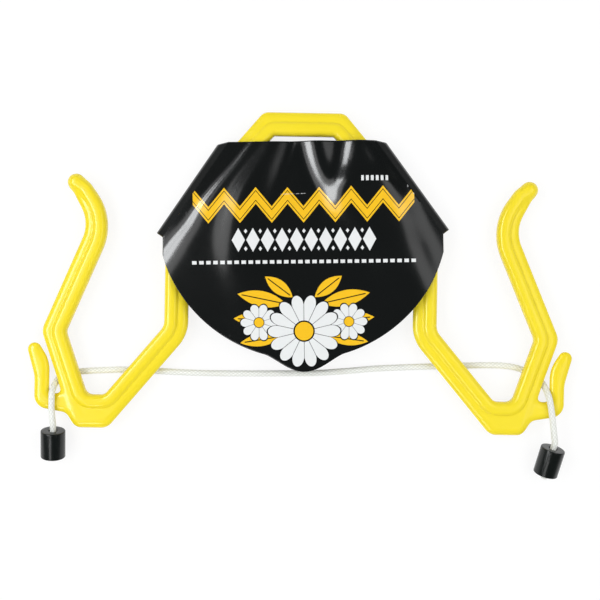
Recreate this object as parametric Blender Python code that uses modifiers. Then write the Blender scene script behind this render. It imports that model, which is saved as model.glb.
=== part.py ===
"""Sheep restrainer: a moulded yoke with a neck arch, two leg slots, a cord with stoppers and a card sleeve.

The yoke lies flat on its back. X runs across it, +Y points to the neck arch and +Z is up from the
ground. The origin is under the middle of the yoke, on the ground. All sizes are in metres.
"""

import math

import bmesh
import bpy
import numpy as np
from mathutils import Matrix, Vector

# The moulding's section: a thick bead with a thinner plate beside it.
BAR_WIDTH = 0.0226
LEG_WIDTH = 0.0220
BEAD_WIDTH = 0.0140
BEAD_THICKNESS = 0.015
BEAD_SQUARENESS = 2.6
PLATE_THICKNESS = 0.008
PLATE_EDGE_ROUND = 0.0034

# The moulding's outline, right half. A drop is measured down from the top of the arch, and a rise
# up from the bottom edge of the yoke.
YOKE_HEIGHT = 0.3015
ARCH_TOP_HALF = 0.0383
INNER_BAR_X = 0.1288
SHOULDER_DROP = 0.1064
BEAD_CROSS_INSET = 0.0112
BEAD_CROSS_DROP = 0.1450
BEAD_CROSS_RADIUS = 0.060
BEND_RISE = 0.0974
SLOT_FLOOR_RISE = 0.0316
SLOT_FLOOR_INNER_X = 0.1840
SLOT_FLOOR_OUTER_X = 0.2008
KINK_X = 0.2213
KINK_RISE = 0.0906
WAIST_X = 0.1768
WAIST_RISE = 0.1960
TIP_LEAN_X = 0.2005
TIP_LEAN_RISE = 0.2312
TIP_X = 0.2144
TIP_RISE = 0.2320
TIP_RADIUS = 0.0070
TIP_PLATE_INSET = 0.0012
LAND_OUTER_X = 0.2106

# Corner radii of the moulding, seen from the front.
ARCH_CORNER_RADIUS = 0.010
ARCH_BEAD_RADIUS = 0.009
SHOULDER_RADIUS = 0.032
BEND_RADIUS = 0.014
SLOT_FLOOR_RADIUS = 0.0080
KINK_RADIUS = 0.008
KINK_OUTER_RADIUS = 0.016
WAIST_OUTER_RADIUS = 0.033
TIP_BEND_RADIUS = 0.012
LAND_INNER_RADIUS = 0.013
LAND_OUTER_RADIUS = 0.0095

# The tab and the finger that jam the cord.
EYE_FLOOR_RISE = 0.0320
EYE_CORNER_SHARE = 0.36
FINGER_INNER_X = 0.2368
FINGER_WIDTH = 0.0139
THROAT_RISE = 0.0630
THROAT_RADIUS = 0.022
FINGER_BEND_RISE = 0.0483
FINGER_BEND_RADIUS = 0.026
FINGER_TIP_X = 0.2511
FINGER_TIP_RISE = 0.0733
FINGER_TIP_RADIUS = 0.0064
TAB_CORNER_RISE = 0.0190
TAB_CORNER_RADIUS = 0.0130
TAB_ROOT_X = 0.2212
TAB_ROOT_RISE = 0.0140
TAB_ROOT_RADIUS = 0.009

# The cord, its stoppers and its knots.
CORD_DIAMETER = 0.006
CORD_SIDES_RESOLUTION = 2
STOPPER_DIAMETER = 0.0230
STOPPER_LENGTH = 0.0265
STOPPER_BORE = 0.0080
STOPPER_CHAMFER = 0.0007
KNOT_DIAMETER = 0.0126
KNOT_LENGTH = 0.0095
KNOT_CLEARANCE = 0.0010
LEFT_CORD_END = 0.0030
RIGHT_CORD_END = 0.0058
TAIL_STRAIGHT = 0.0060
STOPPER_TILT = math.radians(14.3)
STOPPER_STEPS = 28

# The card sleeve, before its skew on the shoulders. Its points are given as (x, drop).
CARD_THICKNESS = 0.0006
CARD_FOLD_TOP = (0.0802, 0.0298)
CARD_FOLD_BOTTOM = (0.1383, 0.1122)
CARD_SPINE_RUN = 0.0080
CARD_TOP_DROP = 0.0280
CARD_CURVE_CENTRE_DROP = 0.0957
CARD_CURVE_SIDE_DEPTH = 0.0378
CARD_LOBE_HALF = 0.0370
CARD_LOBE_DEPTH = 0.0116
CARD_FRONT_BULGE = 0.0050
CARD_CENTRE_X = -0.0005
CARD_SKEW = math.radians(1.7)
CARD_COLUMNS = 26
CARD_SPINE_STEPS = 2
CARD_SLEEVE_ROWS = 6
CARD_APRON_ROWS = 8

# Clearances.
TOUCH_GAP = 0.0003
CORD_LIFT = 0.00002

# Heights that follow from the sizes.
CORD_RADIUS = CORD_DIAMETER / 2
CORD_Z = CORD_RADIUS + CORD_LIFT
YOKE_BACK_Z = CORD_Z + CORD_RADIUS + TOUCH_GAP
YOKE_MID_Z = YOKE_BACK_Z + BEAD_THICKNESS / 2
YOKE_FRONT_Z = YOKE_BACK_Z + BEAD_THICKNESS
PLATE_FRONT_Z = YOKE_MID_Z + PLATE_THICKNESS / 2
CORD_OVER_TAB_Z = PLATE_FRONT_Z + TOUCH_GAP + CORD_RADIUS
TOP = YOKE_HEIGHT / 2
BOTTOM = -YOKE_HEIGHT / 2

# Points in each rounded corner, and the spacing of sections along the straight bead.
CORNER_STEPS = 5
BEAD_SPACING = 0.014
BEAD_SIDES = 14

YELLOW = (0.94, 0.74, 0.03, 1.0)
WHITE = (0.85, 0.86, 0.84, 1.0)
BLACK = (0.012, 0.012, 0.013, 1.0)
CARD_BLACK = (0.010, 0.012, 0.012, 1.0)


def clear_scene():
    """Remove whatever the open file holds."""
    for thing in list(bpy.data.objects):
        bpy.data.objects.remove(thing, do_unlink=True)


def collection(name):
    """A collection linked to the scene."""
    made = bpy.data.collections.new(name)
    bpy.context.scene.collection.children.link(made)
    return made


def material(name, colour, roughness):
    """A plain Principled material."""
    made = bpy.data.materials.new(name)
    made.use_nodes = True
    shader = made.node_tree.nodes["Principled BSDF"]
    shader.inputs["Base Color"].default_value = colour
    shader.inputs["Roughness"].default_value = roughness
    return made


def place(name, mesh, group, finish=None):
    """A mesh object in a collection, with its material."""
    made = bpy.data.objects.new(name, mesh)
    group.objects.link(made)
    if finish is not None:
        mesh.materials.append(finish)
    return made


def hide_cutter(thing):
    """Show a helper shape as wire only."""
    thing.display_type = "WIRE"
    thing.hide_render = True


def unit(vector):
    """The vector at length one."""
    vector = np.asarray(vector, dtype=float)
    return vector / np.linalg.norm(vector)


def right_of(direction):
    """The direction a quarter turn clockwise."""
    return np.array([direction[1], -direction[0]])


def meet(point_a, along_a, point_b, along_b):
    """Where two lines in the plane cross."""
    steps = np.linalg.solve(np.column_stack([along_a, -np.asarray(along_b)]), np.subtract(point_b, point_a))
    return np.asarray(point_a) + steps[0] * np.asarray(along_a)


def offset_corner(before, corner, after, inset_in, inset_out):
    """The corner of two lines moved to the right of the way from before to after."""
    along_in = unit(np.subtract(corner, before))
    along_out = unit(np.subtract(after, corner))
    start = np.add(corner, inset_in * right_of(along_in))
    end = np.add(corner, inset_out * right_of(along_out))
    return meet(start, along_in, end, along_out)


def clockwise_arc(before, centre, radius, after, steps):
    """Points round a circle on the right of the way, from the tangent of before to that of after."""
    centre = np.asarray(centre, dtype=float)
    to_before = np.subtract(before, centre)
    to_after = np.subtract(after, centre)
    start = math.atan2(to_before[1], to_before[0]) - math.acos(radius / np.linalg.norm(to_before))
    end = math.atan2(to_after[1], to_after[0]) + math.acos(radius / np.linalg.norm(to_after))
    sweep = (start - end) % (2 * math.pi)
    angles = start - sweep * np.linspace(0, 1, steps)
    return centre + radius * np.column_stack([np.cos(angles), np.sin(angles)])


def fillet(before, corner, after, radius, steps):
    """Points round one corner, on an arc that touches both of its sides."""
    along_in = unit(np.subtract(corner, before))
    along_out = unit(np.subtract(after, corner))
    turn = math.atan2(along_in[0] * along_out[1] - along_in[1] * along_out[0], along_in @ along_out)
    reach = radius * math.tan(abs(turn) / 2)
    start = np.asarray(corner) - reach * along_in
    side = -1.0 if turn < 0 else 1.0
    normal = -side * right_of(along_in)
    centre = start + radius * normal
    spoke = start - centre
    points = []
    for angle in turn * np.linspace(0, 1, steps):
        turned = (
            spoke[0] * math.cos(angle) - spoke[1] * math.sin(angle),
            spoke[0] * math.sin(angle) + spoke[1] * math.cos(angle),
        )
        points.append(centre + turned)
    return points


def rounded_path(corners, steps=CORNER_STEPS):
    """A path through (x, y, radius) corners, where a radius of 0 keeps the point as it is."""
    points = []
    for index, (x, y, radius) in enumerate(corners):
        if radius <= 0 or index in (0, len(corners) - 1):
            points.append(np.array([x, y]))
        else:
            points.extend(fillet(corners[index - 1][:2], (x, y), corners[index + 1][:2], radius, steps))
    return np.array(points)


def slot_side_edges():
    """The true edge of the bar on its slot side, from the arch's top to the tip, before rounding."""
    return [
        (0.0, TOP),
        (ARCH_TOP_HALF, TOP),
        (INNER_BAR_X, TOP - SHOULDER_DROP),
        (INNER_BAR_X, BOTTOM + BEND_RISE),
        (SLOT_FLOOR_INNER_X, BOTTOM + SLOT_FLOOR_RISE),
        (SLOT_FLOOR_OUTER_X, BOTTOM + SLOT_FLOOR_RISE),
        (KINK_X, BOTTOM + KINK_RISE),
        (WAIST_X, BOTTOM + WAIST_RISE),
        (TIP_LEAN_X, BOTTOM + TIP_LEAN_RISE),
    ]


def tip_centre():
    """The middle of the rounded tip."""
    return np.array([TIP_X, BOTTOM + TIP_RISE])


def bead_corners():
    """The bead's centreline for the right half, as (x, y, radius).

    On the arch the bead runs on the neck side. It crosses the bar along the shoulder and then keeps
    to the slot side.
    """
    edge = slot_side_edges()
    half = BEAD_WIDTH / 2
    deep = BAR_WIDTH - half
    cross = BEAD_CROSS_INSET
    shoulder = offset_corner(edge[1], edge[2], edge[3], cross, cross)
    inset = [offset_corner(edge[i - 1], edge[i], edge[i + 1], half, half) for i in range(3, 8)]
    arch = offset_corner(edge[0], edge[1], edge[2], deep, deep)
    tip_along = unit(np.subtract(edge[8], edge[7]))
    lean = np.add(edge[8], half * right_of(tip_along))
    tip = tip_centre()
    return [
        (0.0, TOP - deep, 0.0),
        (*arch, ARCH_BEAD_RADIUS),
        (*shoulder, SHOULDER_RADIUS),
        (edge[2][0] - half, TOP - BEAD_CROSS_DROP, BEAD_CROSS_RADIUS),
        (*inset[0], BEND_RADIUS + half),
        (*inset[1], SLOT_FLOOR_RADIUS + half),
        (*inset[2], SLOT_FLOOR_RADIUS + half),
        (*inset[3], KINK_RADIUS + half),
        (*inset[4], WAIST_OUTER_RADIUS + LEG_WIDTH - half),
        (*lean, TIP_BEND_RADIUS),
        (*tip, 0.0),
    ]


def plate_corners():
    """The plate's outline for the right half, clockwise from the arch's top, as (x, y, radius).

    Where the bead runs along an edge, the plate ends on the bead's centreline, inside the bead.
    """
    edge = slot_side_edges()
    bead = bead_corners()
    full = BAR_WIDTH
    shoulder = offset_corner(edge[1], edge[2], edge[3], full, full)
    bend = offset_corner(edge[2], edge[3], edge[4], full, full)
    kink = offset_corner(edge[5], edge[6], edge[7], LEG_WIDTH, LEG_WIDTH)
    waist = offset_corner(edge[6], edge[7], edge[8], LEG_WIDTH, LEG_WIDTH)
    arm_along = unit(np.subtract(edge[4], edge[3]))
    land_inner = meet(bend, arm_along, (0.0, BOTTOM), (1.0, 0.0))
    leg_along = unit(np.subtract(edge[6], edge[5]))
    eye_leg = meet(kink, leg_along, (0.0, BOTTOM + EYE_FLOOR_RISE), (1.0, 0.0))
    eye_radius = EYE_CORNER_SHARE * (FINGER_INNER_X - eye_leg[0])
    finger_outer = FINGER_INNER_X + FINGER_WIDTH
    throat = (FINGER_INNER_X, BOTTOM + THROAT_RISE)
    finger_bend = (finger_outer, BOTTOM + FINGER_BEND_RISE)
    finger_tip = (FINGER_TIP_X, BOTTOM + FINGER_TIP_RISE)
    tip_radius = TIP_RADIUS - TIP_PLATE_INSET
    tip_arc = clockwise_arc(bead[9][:2], tip_centre(), tip_radius, waist, 2 * CORNER_STEPS)
    finger_arc = clockwise_arc(throat, finger_tip, FINGER_TIP_RADIUS, finger_bend, 2 * CORNER_STEPS)
    corners = [
        (0.0, TOP, 0.0),
        (*edge[1], ARCH_CORNER_RADIUS),
        (*edge[2], SHOULDER_RADIUS),
        (edge[2][0], TOP - BEAD_CROSS_DROP + BEAD_WIDTH / 2, 0.0),
        (bead[3][0], TOP - BEAD_CROSS_DROP - BEAD_WIDTH / 2, 0.0),
    ]
    corners += bead[4:10]
    corners += [(*point, 0.0) for point in tip_arc]
    corners += [
        (*waist, WAIST_OUTER_RADIUS),
        (*kink, KINK_OUTER_RADIUS),
        (*eye_leg, eye_radius),
        (FINGER_INNER_X, BOTTOM + EYE_FLOOR_RISE, eye_radius),
        (*throat, THROAT_RADIUS),
    ]
    corners += [(*point, 0.0) for point in finger_arc]
    corners += [
        (*finger_bend, FINGER_BEND_RADIUS),
        (finger_outer, BOTTOM + TAB_CORNER_RISE, TAB_CORNER_RADIUS),
        (TAB_ROOT_X, BOTTOM + TAB_ROOT_RISE, TAB_ROOT_RADIUS),
        (LAND_OUTER_X, BOTTOM, LAND_OUTER_RADIUS),
        (*land_inner, LAND_INNER_RADIUS),
        (*bend, BEND_RADIUS + BAR_WIDTH),
        (*shoulder, SHOULDER_RADIUS / 2),
        (*bead[1][:2], ARCH_BEAD_RADIUS),
        (0.0, bead[0][1], 0.0),
    ]
    return corners


def mirrored(path):
    """The path with every x changed in sign, in the opposite order."""
    return path[::-1] * np.array([-1.0, 1.0])


def mesh_from_curve(thing):
    """A welded mesh of a flat curve object, with one face on each side. The curve is removed."""
    graph = bpy.context.evaluated_depsgraph_get()
    made = bpy.data.meshes.new_from_object(thing.evaluated_get(graph))
    made.transform(thing.matrix_world)
    bpy.data.objects.remove(thing, do_unlink=True)
    shape = bmesh.new()
    shape.from_mesh(made)
    bmesh.ops.remove_doubles(shape, verts=shape.verts, dist=0.00001)
    inner = [edge for edge in shape.edges if all(abs(face.normal.z) > 0.9 for face in edge.link_faces)]
    bmesh.ops.dissolve_edges(shape, edges=inner)
    bmesh.ops.recalc_face_normals(shape, faces=shape.faces)
    shape.to_mesh(made)
    shape.free()
    return made


def filled_outline(name, points, thickness, group):
    """A flat closed outline given its thickness about z = 0."""
    data = bpy.data.curves.new(name, "CURVE")
    data.dimensions = "2D"
    data.fill_mode = "BOTH"
    data.extrude = thickness / 2
    spline = data.splines.new("POLY")
    spline.points.add(len(points) - 1)
    for knot, (x, y) in zip(spline.points, points):
        knot.co = (x, y, 0.0, 1.0)
    spline.use_cyclic_u = True
    thing = bpy.data.objects.new(name, data)
    group.objects.link(thing)
    bpy.context.view_layer.update()
    return mesh_from_curve(thing)


def evenly_filled(path, spacing):
    """The path with points added on its long straights."""
    points = [path[0]]
    for start, end in zip(path[:-1], path[1:]):
        parts = max(1, round(np.linalg.norm(end - start) / spacing))
        for part in range(1, parts + 1):
            points.append(start + (end - start) * part / parts)
    return np.array(points)


def bead_sections():
    """Centres, sideways directions and half-sizes of the bead's sections, from tip to tip.

    A section is a superellipse. Its half-width grows over the bent part of each leg to the tip's
    radius, and past the tip's centre the sections shrink as circles of latitude do, to a round end.
    """
    right = rounded_path(bead_corners())
    right = evenly_filled(right, BEAD_SPACING)
    path = np.vstack([mirrored(right)[:-1], right])
    along = np.gradient(path, axis=0)
    along /= np.linalg.norm(along, axis=1)[:, None]
    travelled = np.concatenate([[0.0], np.cumsum(np.linalg.norm(np.diff(path, axis=0), axis=1))])
    to_end = np.minimum(travelled, travelled[-1] - travelled)
    bent_length = 4 * TIP_RADIUS
    widen = np.clip(1 - to_end / bent_length, 0, 1)
    half_width = BEAD_WIDTH / 2 + (TIP_RADIUS - BEAD_WIDTH / 2) * widen
    half_height = np.full(len(path), BEAD_THICKNESS / 2)
    caps = np.radians([30.0, 55.0, 75.0, 86.0])
    for angle in caps:
        reach = TIP_RADIUS * math.sin(angle)
        shrink = math.cos(angle)
        path = np.vstack([path[:1] - 0, path, path[-1:] + 0])
        along = np.vstack([along[:1], along, along[-1:]])
        half_width = np.concatenate([[TIP_RADIUS * shrink], half_width, [TIP_RADIUS * shrink]])
        half_height = np.concatenate([
            [BEAD_THICKNESS / 2 * shrink],
            half_height,
            [BEAD_THICKNESS / 2 * shrink],
        ])
        path[0] = mirrored(right)[0] - reach * along[0]
        path[-1] = right[-1] + reach * along[-1]
    return path, along, half_width, half_height


def bead_mesh():
    """The bead as one closed tube of superellipse sections, lofted along its centreline."""
    path, along, half_width, half_height = bead_sections()
    angles = 2 * math.pi * (np.arange(BEAD_SIDES) + 0.5) / BEAD_SIDES
    across = np.sign(np.cos(angles)) * np.abs(np.cos(angles)) ** (2 / BEAD_SQUARENESS)
    up = np.sign(np.sin(angles)) * np.abs(np.sin(angles)) ** (2 / BEAD_SQUARENESS)
    shape = bmesh.new()
    rings = []
    for centre, direction, wide, high in zip(path, along, half_width, half_height):
        sideways = right_of(direction)
        ring = []
        for side, rise in zip(across, up):
            spot = centre + side * wide * sideways
            ring.append(shape.verts.new((spot[0], spot[1], YOKE_MID_Z + rise * high)))
        rings.append(ring)
    for ring, following in zip(rings[:-1], rings[1:]):
        for index in range(BEAD_SIDES):
            after = (index + 1) % BEAD_SIDES
            shape.faces.new((ring[index], ring[after], following[after], following[index]))
    shape.faces.new(rings[0])
    shape.faces.new(rings[-1])
    bmesh.ops.recalc_face_normals(shape, faces=shape.faces)
    made = bpy.data.meshes.new("bead")
    shape.to_mesh(made)
    shape.free()
    return made


def make_yoke(parts, cutters):
    """The moulding: the flat plate with rounded edges, joined with the bead."""
    right = rounded_path(plate_corners())
    outline = np.vstack([right, mirrored(right)[1:-1]])
    plate = filled_outline("plate_outline", outline, PLATE_THICKNESS, parts)
    plate.transform(Matrix.Translation((0.0, 0.0, YOKE_MID_Z)))
    yoke = place("yoke_frame", plate, parts, material("yellow plastic", YELLOW, 0.25))
    bevel = yoke.modifiers.new("edge round", "BEVEL")
    bevel.width = PLATE_EDGE_ROUND
    bevel.segments = 2
    bevel.limit_method = "ANGLE"
    bevel.angle_limit = math.radians(60)
    bevel.use_clamp_overlap = False
    bead = place("bead", bead_mesh(), cutters)
    hide_cutter(bead)
    join = yoke.modifiers.new("bead", "BOOLEAN")
    join.operation = "UNION"
    join.object = bead
    return yoke


def smooth_curve(points, spacing):
    """Points read every spacing along a smooth curve through the route's own points.

    The curve is a centripetal Catmull-Rom spline, with the end points repeated by reflection.
    """
    points = np.asarray(points, dtype=float)
    ends = np.vstack([2 * points[0] - points[1], points, 2 * points[-1] - points[-2]])
    fine = []
    for p0, p1, p2, p3 in zip(ends[:-3], ends[1:-2], ends[2:-1], ends[3:]):
        t1 = np.linalg.norm(p1 - p0) ** 0.5
        t2 = t1 + np.linalg.norm(p2 - p1) ** 0.5
        t3 = t2 + np.linalg.norm(p3 - p2) ** 0.5
        for t in np.linspace(t1, t2, 24, endpoint=False):
            a1 = (t1 - t) / t1 * p0 + t / t1 * p1
            a2 = (t2 - t) / (t2 - t1) * p1 + (t - t1) / (t2 - t1) * p2
            a3 = (t3 - t) / (t3 - t2) * p2 + (t - t2) / (t3 - t2) * p3
            b1 = (t2 - t) / t2 * a1 + t / t2 * a2
            b2 = (t3 - t) / (t3 - t1) * a2 + (t - t1) / (t3 - t1) * a3
            fine.append((t2 - t) / (t2 - t1) * b1 + (t - t1) / (t2 - t1) * b2)
    fine.append(points[-1])
    fine = np.array(fine)
    travelled = np.concatenate([[0.0], np.cumsum(np.linalg.norm(np.diff(fine, axis=0), axis=1))])
    count = max(2, round(travelled[-1] / spacing) + 1)
    wanted = np.linspace(0, travelled[-1], count)
    return np.column_stack([np.interp(wanted, travelled, fine[:, axis]) for axis in range(3)])


def cord_tube(name, points, group, finish, domed_start=False):
    """A closed tube along the points, with a round first end where the cord hinges."""
    data = bpy.data.curves.new(name, "CURVE")
    data.dimensions = "3D"
    data.bevel_depth = CORD_RADIUS
    data.bevel_resolution = CORD_SIDES_RESOLUTION
    data.use_fill_caps = True
    radii = np.ones(len(points))
    if domed_start:
        along = unit(points[1] - points[0])
        angles = np.radians([80, 55, 28])
        dome = [(points[0] - CORD_RADIUS * math.sin(a) * along, math.cos(a)) for a in angles]
        points = np.vstack([[spot for spot, _ in dome], points])
        radii = np.concatenate([[size for _, size in dome], radii])
    spline = data.splines.new("POLY")
    spline.points.add(len(points) - 1)
    for knot, spot, radius in zip(spline.points, points, radii):
        knot.co = (*spot, 1.0)
        knot.radius = radius
    made = bpy.data.objects.new(name, data)
    group.objects.link(made)
    data.materials.append(finish)
    return made


# The cord's route behind the yoke, chosen by hand from left to right, as (x, rise). It lies on the ground.
RUN_ROUTE = [
    (-0.2170, 0.0510),
    (-0.2083, 0.0522),
    (-0.1900, 0.0537),
    (-0.1652, 0.0546),
    (-0.1341, 0.0538),
    (-0.0975, 0.0528),
    (-0.0515, 0.0531),
    (-0.0058, 0.0541),
    (0.0141, 0.0546),
    (0.0462, 0.0573),
    (0.0735, 0.0601),
    (0.1010, 0.0618),
    (0.1285, 0.0631),
    (0.1570, 0.0645),
    (0.1936, 0.0651),
    (0.2075, 0.0631),
    (0.2160, 0.0602),
]

# From the ground through each eye to the tab's front, as (x, rise, share), where the share is that of
# the climb from the ground to the cord's place over the tab.
LEFT_BEND_ROUTE = [
    (-0.2170, 0.0510, 0.0),
    (-0.2228, 0.0499, 0.02),
    (-0.2272, 0.0478, 0.08),
    (-0.2302, 0.0443, 0.25),
    (-0.2317, 0.0403, 0.54),
    (-0.2323, 0.0363, 0.83),
    (-0.2325, 0.0323, 0.98),
    (-0.2325, 0.0272, 1.0),
    (-0.2325, 0.0207, 1.0),
]
RIGHT_BEND_ROUTE = [
    (0.2160, 0.0602, 0.0),
    (0.2222, 0.0578, 0.02),
    (0.2276, 0.0537, 0.09),
    (0.2312, 0.0495, 0.26),
    (0.2330, 0.0452, 0.53),
    (0.2341, 0.0405, 0.83),
    (0.2353, 0.0355, 0.98),
    (0.2364, 0.0300, 1.0),
    (0.2375, 0.0237, 1.0),
]

# The tails leave the tab here, as (x, rise), and turn about these points when they are lifted.
LEFT_TAIL_START = (-0.2325, 0.0174)
RIGHT_TAIL_START = (0.2380, 0.0204)
LEFT_STOPPER_TOP = (-0.2315, -0.0029)
RIGHT_STOPPER_TOP = (0.2404, -0.0113)
LEFT_STOPPER_YAW = math.radians(-2.3)
RIGHT_STOPPER_YAW = math.radians(-12.6)


def bend_points(route):
    """A bend's route with its heights."""
    climb = CORD_OVER_TAB_Z - CORD_Z
    return np.array([(x, BOTTOM + rise, CORD_Z + share * climb) for x, rise, share in route])


def stopper_axis(yaw):
    """The unit direction from a stopper's upper end to its lower end."""
    flat = math.cos(STOPPER_TILT)
    return np.array([math.sin(yaw) * flat, -math.cos(yaw) * flat, -math.sin(STOPPER_TILT)])


def stopper_top(spot):
    """The middle of a stopper's upper end, at the height where its lower rim rests on the ground."""
    rim = STOPPER_DIAMETER / 2 * math.cos(STOPPER_TILT) + CORD_LIFT
    x, rise = spot
    return np.array([x, BOTTOM + rise, rim + STOPPER_LENGTH * math.sin(STOPPER_TILT)])


def tail_points(start, top_spot, yaw):
    """A tail's route: level off the tab, drooping to the stopper and straight down its bore."""
    begin = np.array([start[0], BOTTOM + start[1], CORD_OVER_TAB_Z])
    top = stopper_top(top_spot)
    axis = stopper_axis(yaw)
    straight = top - TAIL_STRAIGHT * axis
    reach = np.linalg.norm(straight - begin)
    leave = np.array([(straight[0] - begin[0]) / reach, -1.0, -0.03])
    control = begin + leave * 0.45 * reach
    knot_face = KNOT_LENGTH + KNOT_CLEARANCE
    end = top + (STOPPER_LENGTH - knot_face) * axis
    share = np.linspace(0, 1, 6)[:, None]
    droop = (1 - share) ** 2 * begin + 2 * share * (1 - share) * control + share ** 2 * straight
    return np.vstack([droop, [top, end]])


def turned_object(name, profile, steps, top, axis, group, finish):
    """A turned piece: (radius, distance along the axis) points, closed and set on its axis."""
    data = bpy.data.meshes.new(name)
    corners = [(radius, 0.0, -distance) for radius, distance in profile]
    edges = [(index, index + 1) for index in range(len(corners) - 1)]
    if profile[0][0] > 0:
        edges.append((len(corners) - 1, 0))
    data.from_pydata(corners, edges, [])
    made = place(name, data, group, finish)
    screw = made.modifiers.new("turn", "SCREW")
    screw.steps = steps
    screw.render_steps = steps
    screw.use_merge_vertices = True
    screw.merge_threshold = 0.00001
    screw.use_smooth_shade = True
    turn = Vector((0.0, 0.0, -1.0)).rotation_difference(Vector(axis))
    made.matrix_world = Matrix.Translation(top) @ turn.to_matrix().to_4x4()
    return made


def stopper_profile():
    """A stopper's wall: outer side, lower end, the pocket for the knot, the bore and the upper end."""
    outer = STOPPER_DIAMETER / 2
    bore = STOPPER_BORE / 2
    pocket = KNOT_DIAMETER / 2 + KNOT_CLEARANCE
    depth = STOPPER_LENGTH - KNOT_LENGTH - 2 * KNOT_CLEARANCE
    cut = STOPPER_CHAMFER
    return [
        (outer - cut, 0.0),
        (outer, cut),
        (outer, STOPPER_LENGTH - cut),
        (outer - cut, STOPPER_LENGTH),
        (pocket, STOPPER_LENGTH),
        (pocket, depth),
        (bore, depth),
        (bore, 0.0),
    ]


def knot_profile(end_length):
    """A knot, plump in the middle, with the cord's end standing out of it."""
    start = STOPPER_LENGTH - KNOT_LENGTH - KNOT_CLEARANCE + TOUCH_GAP
    fat = KNOT_DIAMETER / 2
    length = KNOT_LENGTH - TOUCH_GAP
    rows = [(0.0, start)]
    for share in (0.05, 0.2, 0.4, 0.6, 0.8, 0.95):
        swell = math.sqrt(1 - (2 * share - 1) ** 2)
        rows.append((CORD_RADIUS + (fat - CORD_RADIUS) * swell, start + share * length))
    rows.append((CORD_RADIUS * 0.96, start + length))
    rows.append((CORD_RADIUS * 0.96, start + length + end_length - CORD_RADIUS * 0.2))
    rows.append((CORD_RADIUS * 0.76, start + length + end_length))
    rows.append((0.0, start + length + end_length))
    return rows


def card_spot(x, y, z):
    """A point of the card's own frame, turned on the yoke by the card's skew."""
    cos = math.cos(CARD_SKEW)
    sin = math.sin(CARD_SKEW)
    pivot = TOP - (CARD_FOLD_TOP[1] + CARD_FOLD_BOTTOM[1]) / 2
    rise = y - pivot
    return (CARD_CENTRE_X + x * cos - rise * sin, pivot + x * sin + rise * cos, z)


def card_lines():
    """The ends of the side fold and of the crease beside it.

    They are the fold's top and bottom, and the crease's top and bottom. The crease runs parallel to
    the fold, one spine's run inside it. Its lower end is square to the fold and its upper end is at
    the sleeve's top edge.
    """
    fold_top = np.array([CARD_FOLD_TOP[0], TOP - CARD_FOLD_TOP[1]])
    fold_bottom = np.array([CARD_FOLD_BOTTOM[0], TOP - CARD_FOLD_BOTTOM[1]])
    along = unit(fold_bottom - fold_top)
    inward = right_of(along)
    crease_bottom = fold_bottom + CARD_SPINE_RUN * inward
    crease_top = meet(crease_bottom, along, (0.0, TOP - CARD_TOP_DROP), (1.0, 0.0))
    return fold_top, fold_bottom, crease_top, crease_bottom


def card_front_z(share):
    """The front panel's height over the ground: it swells between the shoulders."""
    inner = YOKE_FRONT_Z + TOUCH_GAP + CARD_THICKNESS
    return inner + CARD_FRONT_BULGE * math.cos(min(1.0, abs(share)) * math.pi / 2) ** 2


def card_back_z(share):
    """The back panel's height: it sags to the ground between the shoulders."""
    high = YOKE_BACK_Z - TOUCH_GAP - CARD_THICKNESS
    return high * (1 - math.cos(share * math.pi / 2) ** 2) + CORD_LIFT


def card_sleeve_row(share):
    """One loop round the sleeve: the front, the right spine, the back and the left spine."""
    fold_top, fold_bottom, crease_top, crease_bottom = card_lines()
    fold = fold_top + share * (fold_bottom - fold_top)
    crease = crease_top + share * (crease_bottom - crease_top)
    across = np.linspace(-1, 1, CARD_COLUMNS + 1)
    front = [(s * crease[0], crease[1], card_front_z(s)) for s in across]
    back = [(-s * crease[0], crease[1], card_back_z(s)) for s in across]
    spine = []
    for step in range(1, 2 * CARD_SPINE_STEPS):
        part = step / CARD_SPINE_STEPS
        if part <= 1:
            flat = crease + part * (fold - crease)
            height = card_front_z(1) + part * (YOKE_MID_Z - card_front_z(1))
        else:
            flat = fold + (part - 1) * (crease - fold)
            height = YOKE_MID_Z + (part - 1) * (card_back_z(1) - YOKE_MID_Z)
        spine.append((*flat, height))
    left_spine = [(-x, y, z) for x, y, z in spine[::-1]]
    return [card_spot(*spot) for spot in front + spine + back + left_spine]


def card_lower_edge(side_half):
    """The front panel's lower edge: part of a circle with a round lobe in its middle.

    The circle's centre is CARD_CURVE_SIDE_DEPTH above the ends of the panel's straight sides.
    """
    radius = math.hypot(side_half, CARD_CURVE_SIDE_DEPTH)
    reach = math.asin(side_half / radius)
    centre = TOP - CARD_CURVE_CENTRE_DROP
    points = []
    for s in np.linspace(-1, 1, CARD_COLUMNS + 1):
        angle = s * reach
        x = radius * math.sin(angle)
        lobe = math.cos(min(1.0, abs(x) / CARD_LOBE_HALF) * math.pi / 2) ** 1.5
        points.append((x, centre - radius * math.cos(angle) - CARD_LOBE_DEPTH * lobe))
    return points


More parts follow.
